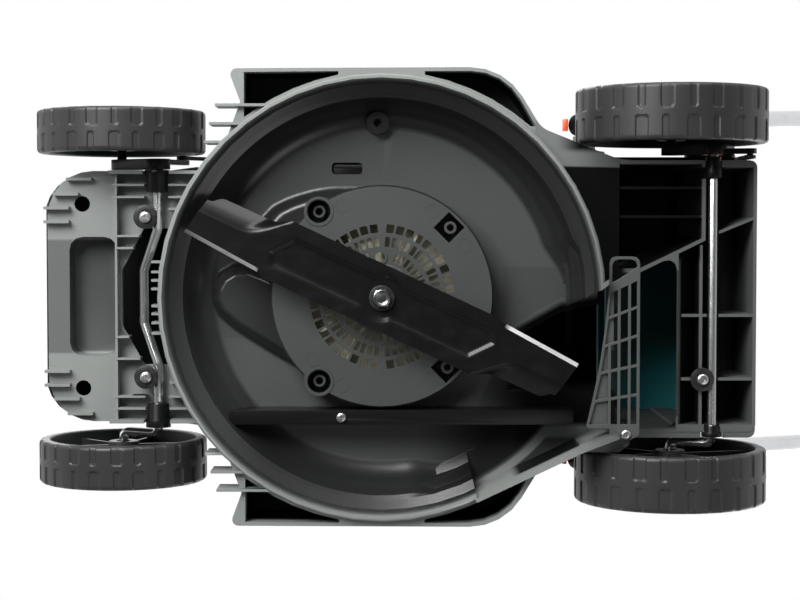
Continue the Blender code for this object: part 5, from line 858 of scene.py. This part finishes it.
def makeScrew(node, head, s):
    low, high = (Vector(c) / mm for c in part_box(node))
    x, y = (low.x + high.x) / 2.0 - deckX / mm, (low.y + high.y) / 2.0
    face, rim = low.z + s["lift"], head * s["rim"]
    step = 2.0 * math.pi / s["starSteps"]
    bm = bmesh.new()
    addRing(bm, (0.0, 0.0), rim, s["rimSteps"])
    star = addRing(bm, (0.0, 0.0), 1.0, s["starSteps"])
    for v in star:
        angle = math.atan2(v.co.y, v.co.x)
        way = round(angle / step) % 4             # 0 is an arm's middle, 2 lies between two arms
        if way in (1, 3):                         # the sides of each arm run parallel
            flank = 1.0 if way == 1 else -1.0
            arm = angle - step * flank
            out = Vector((math.cos(arm), math.sin(arm), 0.0))
            aside = Vector((-out.y, out.x, 0.0)) * s["armHalf"] * flank
            v.co = (out * s["armEnd"][1] + aside) * rim
        else:
            v.co *= rim * (s["heart"] if way else s["armEnd"][0])
    ring = [e for e in bm.edges if all(v in star for v in e.verts)]
    bmesh.ops.triangle_fill(bm, edges=bm.edges[:], use_beauty=True)
    walls = bmesh.ops.extrude_edge_only(bm, edges=ring)
    sunk = vertsOf(walls)
    bmesh.ops.translate(bm, verts=sunk, vec=(0.0, 0.0, s["deep"]))
    bmesh.ops.scale(bm, verts=sunk, vec=(s["narrow"], s["narrow"], 1.0))
    bmesh.ops.contextual_create(bm, geom=[
        e for e in walls["geom"]
        if isinstance(e, bmesh.types.BMEdge) and all(v in sunk for v in e.verts)])
    bmesh.ops.translate(bm, verts=bm.verts, vec=(0.0, 0.0, face))
    dome = [(head * share, face + up) for share, up in s["dome"]]
    spun(bm, (0.0, 0.0), [(rim, face), *dome, (s["shank"], dome[-1][1]), (s["shank"], high.z),
                          (0.0, high.z)], s["rimSteps"])
    bmesh.ops.rotate(bm, verts=bm.verts, cent=(0, 0, 0), matrix=Matrix.Rotation(s["turn"], 3, "Z"))
    bmesh.ops.translate(bm, verts=bm.verts, vec=(x, y, 0.0))
    newPiece(node + "Head", bm, "brightSteel", "deck", node)


for node, head in screwShape["headOf"].items():
    makeScrew(node, head, screwShape)
print("blade, motor plate, bolt and screws detailed")


# Discharge grille: slanting bars between uprights, a grab loop above and a tab for the screw below
grilleShape = {
    "low": 26.72, "high": 29.7, "right": 211.8, "frame": 2.4, "bar": 1.15, "edges": 0.25,
    "rim": [(186.6, -11.0), (186.6, -27.5), (187.3, -31.0), (189.6, -33.4), (193.0, -34.0),
            (205.4, -34.0), (208.8, -33.4), (211.1, -31.0), (211.8, -27.5), (211.8, 113.0),
            (203.3, 117.6), (199.0, 117.6), (187.4, 113.4), (187.4, 107.4), (170.0, 107.4),
            (168.3, 105.6), (174.6, 77.5), (179.2, 54.5), (182.8, 29.3), (185.4, 5.2)],
    "grab": [(188.9, -13.0), (188.9, -26.8), (190.6, -30.3), (194.0, -31.6), (204.6, -31.6),
             (208.0, -30.2), (209.5, -26.8), (209.5, -25.4), (192.6, -14.2), (190.0, -13.2)],
    "left": [(-12.0, 187.4), (5.2, 187.2), (29.3, 184.6), (54.5, 181.2), (77.5, 176.6),
             (104.5, 170.2)],
    "uprights": [187.0, 194.8, 203.3],
    "bars": [(-15.1, -4.0), (7.7, 16.7), (31.3, 38.8), (55.6, 60.6), (79.7, 83.4), (105.2, 105.2)],
    "barsFrom": 186.0,                            # where the bars' second heights hold
    "leftAt": (184.0, 180.0), "leftGap": (0.2, 0.4),
    "screw": (200.5, 112.4), "screwRadius": 2.3, "screwSteps": 20,
    # the web behind the left column; its right edge steps back above stepAt
    "web": {"y": (-4.0, 105.0), "left": -0.8, "right": (190.6, 185.8), "stepAt": 45.0,
            "sunk": 0.35, "bent": 0.3, "columns": 6, "rows": 40},
}


def makeGrille(s):
    bm = bmesh.new()
    addLoop(bm, s["rim"])
    addLoop(bm, s["grab"])
    addRing(bm, s["screw"], s["screwRadius"], s["screwSteps"])
    inner, half = s["right"] - s["frame"], s["bar"]

    def barAt(row, x):
        right, left = s["bars"][row]
        return right + (left - right) * (inner - x) / (inner - s["barsFrom"])

    for row in range(len(s["bars"]) - 1):
        uprights = (s["uprights"] if row > 1 else s["uprights"][1:])[::-1]
        ends = [along(s["left"], barAt(row + i, s["leftAt"][i])) + s["leftGap"][i] for i in (0, 1)]
        highs = [inner] + [x - half for x in uprights]
        lows = [(x + half, x + half) for x in uprights] + [ends]
        for high, (low, nextLow) in zip(highs, lows):
            addLoop(bm, [(high, barAt(row, high) + half), (high, barAt(row + 1, high) - half),
                         (nextLow, barAt(row + 1, nextLow) - half), (low, barAt(row, low) + half)])
    bmesh.ops.triangle_fill(bm, edges=bm.edges[:], use_beauty=True)
    bmesh.ops.translate(bm, verts=bm.verts, vec=(0.0, 0.0, s["low"]))
    thicken(bm, s["high"] - s["low"])
    web = s["web"]
    for v in addSheet(bm, web["columns"], web["rows"]):
        # the web is bent back at its free edge
        y = between(*web["y"], (v.co.y + 1.0) / 2.0)
        t = (v.co.x + 1.0) / 2.0
        right = web["right"][1 if y > web["stepAt"] else 0]
        x = between(along(s["left"], y) + web["left"], right, t)
        v.co = (x, y, s["high"] - web["sunk"] + web["bent"] * t)
    newPiece("grilleBars", bm, "grilleGrey", "deck", "discharge_grille", s["edges"],
             soft=False)


makeGrille(grilleShape)
print("grille detailed")


# Wheels: one moulding each, two staggered rows of U-shaped pockets cut into the tread
wheelShape = {
    "front": {"radius": 70.0, "wide": 36.0, "inner": 119.5, "steps": 420},
    "rear": {"radius": 81.0, "wide": 46.0, "inner": 128.5, "steps": 480},
    "corner": 3.6, "cornerSteps": 6, "rows": 44,
    # the inner side runs from the bore out to the rim, the outer side from the rim in to the bore;
    # hubs give radius and depth, rims give what the wheel's radius is lowered by and depth
    "innerHub": [(6.2, 3.0), (12.0, 3.0), (12.8, 3.8)], "webAt": 9.0, "hub": 14.0,
    "innerRim": [(-9.2, 1.0), (-8.2, 0.0), (-3.6, 0.0)], "innerDish": 13.0,
    "outerRim": [(-11.2, 0.0), (-12.4, 0.8), (-15.6, 4.6), (-17.0, 5.0)],
    "outerHub": [(21.0, 5.0), (17.6, 3.4), (16.0, 1.0), (14.6, 0.4), (7.2, 0.4), (6.2, 1.4)],
    "ribs": {"count": 6, "first": 15.0, "from": 12.0, "to": 9.0, "wide": 2.4,
             "short": 13.0, "at": -0.5},
    "spokes": {"count": 12, "from": 18.0, "to": 17.0, "more": 3.0, "wide": 3.2,
               "deep": 3.0, "at": 5.0},
}
pocketShape = {
    # centre from straight down and width, both in degrees, and the side that it opens to
    "rows": [(-11.2, 7.4, "outer"), (4.1, 4.1, "outer"), (4.1, 7.4, "inner"),
             (-12.0, 4.1, "inner")],
    "every": 30.0, "share": {"outer": 0.44, "inner": 0.43}, "corner": 2.6,
    "deep": 1.15, "edge": (-0.5, 0.35), "reach": 0.5, "taper": 0.3,
}


def pocketDepth(size, s, angle, w):
    # w runs from the outer face (0) to the inner one; a pocket's closed end is round
    for centre, width, side in s["rows"]:
        turned = math.degrees(angle) - centre + s["every"] / 2.0
        across = math.radians(abs(turned % s["every"] - s["every"] / 2.0)) * size["radius"]
        half = math.radians(width) / 2.0 * size["radius"]
        run = w if side == "outer" else size["wide"] - w
        corner = min(half, s["corner"])
        aside = max(0.0, across - (half - corner))
        beyond = max(0.0, run - (size["wide"] * s["share"][side] - corner))
        gone = math.hypot(aside, beyond) - corner
        if gone < s["reach"]:
            return s["deep"] * (1.0 - ease(*s["edge"], gone))
    return 0.0


def wheelProfile(size, s):
    radius, inner, outer = size["radius"], size["inner"], size["inner"] + size["wide"]
    corner, rows = s["corner"], s["rows"]
    web = outer - s["webAt"]
    profile = [(r, inner + h) for r, h in s["innerHub"]]
    profile += [(s["hub"], web), (radius - s["innerDish"], web)]
    profile += [(radius + r, inner + h) for r, h in s["innerRim"]]
    turns = [math.radians(90.0 * i / s["cornerSteps"]) for i in range(s["cornerSteps"] + 1)]
    profile += [(radius - corner + corner * math.sin(t), inner + corner - corner * math.cos(t))
                for t in turns[1:]]
    tread = size["wide"] - 2.0 * corner
    profile += [(radius, inner + corner + tread * i / rows) for i in range(1, rows)]
    profile += [(radius - corner + corner * math.cos(t), outer - corner + corner * math.sin(t))
                for t in turns]
    profile += [(radius + r, outer - h) for r, h in s["outerRim"]]
    profile += [(r, outer - h) for r, h in s["outerHub"]]
    return profile + profile[:1]


def makeWheel(node, size, s, at, sign):
    bm = bmesh.new()
    radius, inner, outer = size["radius"], size["inner"], size["inner"] + size["wide"]
    spun(bm, (0.0, 0.0), wheelProfile(size, s), size["steps"])
    for v in bm.verts:
        r = math.hypot(v.co.x, v.co.y)
        if r > radius - s["corner"] - 0.01:
            depth = pocketDepth(size, pocketShape, math.atan2(v.co.x, -v.co.y), outer - v.co.z)
            cut = max(0.0, min(depth, depth - (radius - r) * pocketShape["taper"]))
            v.co.x *= 1.0 - cut / r
            v.co.y *= 1.0 - cut / r
    ribs, spokes = s["ribs"], s["spokes"]
    for i in range(ribs["count"]):                # behind the web
        long = radius - ribs["to"] - ribs["from"]
        addBlock(bm, (long, ribs["wide"], size["wide"] - ribs["short"]),
                 (ribs["from"] + long / 2.0, 0.0, (inner + outer) / 2.0 + ribs["at"]),
                 math.radians(360.0 / ribs["count"] * i + ribs["first"]))
    for i in range(spokes["count"]):              # shallow ones on the web's outer face
        long = radius - spokes["to"] - spokes["from"]
        addBlock(bm, (long + spokes["more"], spokes["wide"], spokes["deep"]),
                 (spokes["from"] + long / 2.0, 0.0, outer - spokes["at"]),
                 math.radians(360.0 / spokes["count"] * i))
    # drawn round z with "down" along -y; laid over so that down is -z and the axle runs along y
    lay = Matrix(((1, 0, 0, at[0]), (0, 0, sign, 0), (0, 1, 0, at[1]), (0, 0, 0, 1)))
    bmesh.ops.transform(bm, matrix=lay, verts=bm.verts)
    newPiece(node + "Tread", bm, "tyrePlastic", node, node)


for end in ("front", "rear"):
    for side, sign in (("left", -1.0), ("right", 1.0)):
        node = end + "_wheel_" + side
        low, high = (Vector(c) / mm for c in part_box(node))
        middle = ((low.x + high.x) / 2.0 - deckX / mm, (low.z + high.z) / 2.0)
        makeWheel(node, wheelShape[end], wheelShape, middle, sign)
print("wheels detailed")


# Chamber: the soft bulge and the low volute by the motor plate, and the round at the drum's wall
bulgeShape = {
    "level": 84.85, "bulgeDeep": 15.0, "voluteDeep": 7.0, "slope": 11.0, "voluteSlope": 14.0,
    "x": (-172.0, -12.0), "y": (-118.0, 82.0), "columns": 112, "rows": 136,
    "ring": (91.0, 155.0), "seam": 93.4,          # the patch's reach, and the plate's rim
    "wall": (141.0, 154.0), "wallRise": 1.2,
    "opening": {"beyond": -90.0, "half": 37.0},   # level faces stay over the deck's own opening
    "outline": [(-80.0, -14.0), (-97.0, -22.0), (-112.0, -28.0), (-127.0, -28.0), (-140.0, -20.0),
                (-147.0, -7.0), (-147.0, 6.0), (-141.0, 18.0), (-127.0, 30.0), (-100.0, 47.0),
                (-66.0, 67.0), (-40.0, 40.0)],
    # degrees and the radius out to which the volute stands
    "volute": [(-180.0, 93.0), (-168.0, 112.0), (-158.0, 121.0), (-149.0, 124.0), (-141.0, 122.0),
               (-127.0, 111.0), (-110.0, 99.0), (-98.0, 93.0)],
}
wallShape = {
    "profile": [(138.0, 85.4), (143.0, 84.6), (148.0, 82.9), (152.6, 80.1), (156.4, 76.3),
                (159.4, 71.6), (161.6, 66.0), (163.0, 60.0), (163.9, 54.0), (164.4, 48.0),
                (165.0, 42.0), (170.5, 39.4)],
    "start": 67.0, "sweep": 289.0, "fade": 15.0, "sunk": 11.0,     # degrees, and depth of both ends
    "lip": {"x": (103.0, 187.0), "y": -24.0, "past": 10.0, "columns": 60, "rows": 30,
            "level": 84.85, "rise": 9.0, "span": (-3.0, 12.0)},
}
# metres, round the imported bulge's own faces
bulgeBox = {"X": (deckX - 0.152, deckX - 0.0925), "Y": (-0.0355, 0.0355), "Z": (0.0695, 0.0849)}
# a black block above the ceiling's oblong hole, put there as painted shade
slotShape = {"size": (34.0, 18.0, 1.2), "at": (-31.0, -104.7, 89.3), "edges": 0.2}


def insideDistance(points, x, y):
    # distance to the outline, positive inside
    best, inside = 1e9, False
    for (ax, ay), (bx, by) in zip(points, points[1:] + points[:1]):
        dx, dy = bx - ax, by - ay
        t = min(1.0, max(0.0, ((x - ax) * dx + (y - ay) * dy) / (dx * dx + dy * dy)))
        best = min(best, math.hypot(x - ax - t * dx, y - ay - t * dy))
        if (ay > y) != (by > y) and x < ax + (y - ay) * dx / dy:
            inside = not inside
    return best if inside else -best


def makeBulge(s):
    bm = bmesh.new()
    for v in addSheet(bm, s["columns"], s["rows"]):
        v.co.x = between(*s["x"], (v.co.x + 1.0) / 2.0)
        v.co.y = between(*s["y"], (v.co.y + 1.0) / 2.0)
    near, far = s["ring"]
    bmesh.ops.delete(bm, context="VERTS", geom=[
        v for v in bm.verts if not near < math.hypot(v.co.x, v.co.y) < far])
    for v in bm.verts:
        r = math.hypot(v.co.x, v.co.y)
        angle = math.degrees(math.atan2(v.co.y, v.co.x))
        bulge = ease(0.0, s["slope"], insideDistance(s["outline"], v.co.x, v.co.y))
        volute = 0.0
        if angle < s["volute"][-1][0]:
            volute = ease(0.0, s["voluteSlope"], along(s["volute"], angle) - r)
        v.co.z = (s["level"] - max(s["bulgeDeep"] * bulge, s["voluteDeep"] * volute)
                  + s["wallRise"] * ease(*s["wall"], r))
    opening = s["opening"]
    flat = []
    for f in bm.faces:
        c = f.calc_center_median()
        if c.z > s["level"] - 0.02 and not (
                c.x < opening["beyond"] and abs(c.y) < opening["half"]):
            flat.append(f)
    bmesh.ops.delete(bm, context="FACES", geom=flat)
    for v in bm.verts:                            # the inner edge is drawn onto the plate's rim
        r = math.hypot(v.co.x, v.co.y)
        if r < s["seam"]:
            v.co.x *= s["seam"] / r
            v.co.y *= s["seam"] / r
    newPiece("chamberBulge", bm, "deckGrey", "deck", None)


def makeWallRound(s):
    # closes the corner between ceiling and wall, apart from the way out to the duct
    bm = bmesh.new()
    start, sweep, fade = s["start"], s["sweep"], s["fade"]
    stop = start + sweep
    spun(bm, (0.0, 0.0), s["profile"], round(sweep), math.radians(start), math.radians(sweep))
    for v in bm.verts:                            # both ends run into the wall behind
        turned = math.degrees(math.atan2(v.co.y, v.co.x)) % 360.0
        sunk = s["sunk"] * max(1.0 - ease(start, start + fade, turned),
                               ease(stop - fade, stop, turned))
        r = math.hypot(v.co.x, v.co.y)
        v.co.x *= 1.0 + sunk / r
        v.co.y *= 1.0 + sunk / r
    lip = s["lip"]
    for v in addSheet(bm, lip["columns"], lip["rows"]):
        # the ceiling's near edge where it turns up to the outlet
        x = between(*lip["x"], (v.co.x + 1.0) / 2.0)
        edge = max(slope * x + height for slope, height in deckShadeZones["outletEdge"])
        y = between(lip["y"], edge + lip["past"], (v.co.y + 1.0) / 2.0)
        v.co = (x, y, lip["level"] + lip["rise"] * ease(*lip["span"], y - edge))
    newPiece("chamberRound", bm, "deckGrey", "deck", None)


def openBulge(box):
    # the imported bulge's own faces are left out, because the softer one stands in their place
    group, into, out = newShaper("withoutBulge")
    place = addNode(group, "GeometryNodeInputPosition").outputs[0]
    axes = addNode(group, "ShaderNodeSeparateXYZ", {0: place}).outputs
    wanted = True
    for axis, ends in box.items():
        for kind, value in zip(("GREATER_THAN", "LESS_THAN"), ends):
            test = addNode(group, "FunctionNodeCompare", {"A": axes[axis], "B": value},
                           data_type="FLOAT", operation=kind).outputs["Result"]
            wanted = addNode(group, "FunctionNodeBooleanMath", {0: wanted, 1: test},
                             operation="AND").outputs[0]
    gone = addNode(group, "GeometryNodeDeleteGeometry", {"Geometry": into, "Selection": wanted},
                   domain="FACE")
    group.links.new(gone.outputs[0], out)
    deck = nodes["deck_shell"]
    deck.modifiers.new("openBulge", "NODES").node_group = group
    deck.modifiers.move(len(deck.modifiers) - 1, 1)


def makeSlotShade(s):
    # a black block above the oblong hole in the ceiling: painted shade for the hood's dark inside
    # behind it
    bm = bmesh.new()
    addBlock(bm, s["size"], s["at"])
    newPiece("slotShade", bm, "blackPlastic", "deck", None, s["edges"])


makeBulge(bulgeShape)
makeSlotShade(slotShape)
makeWallRound(wallShape)
openBulge(bulgeBox)
print("chamber detailed")
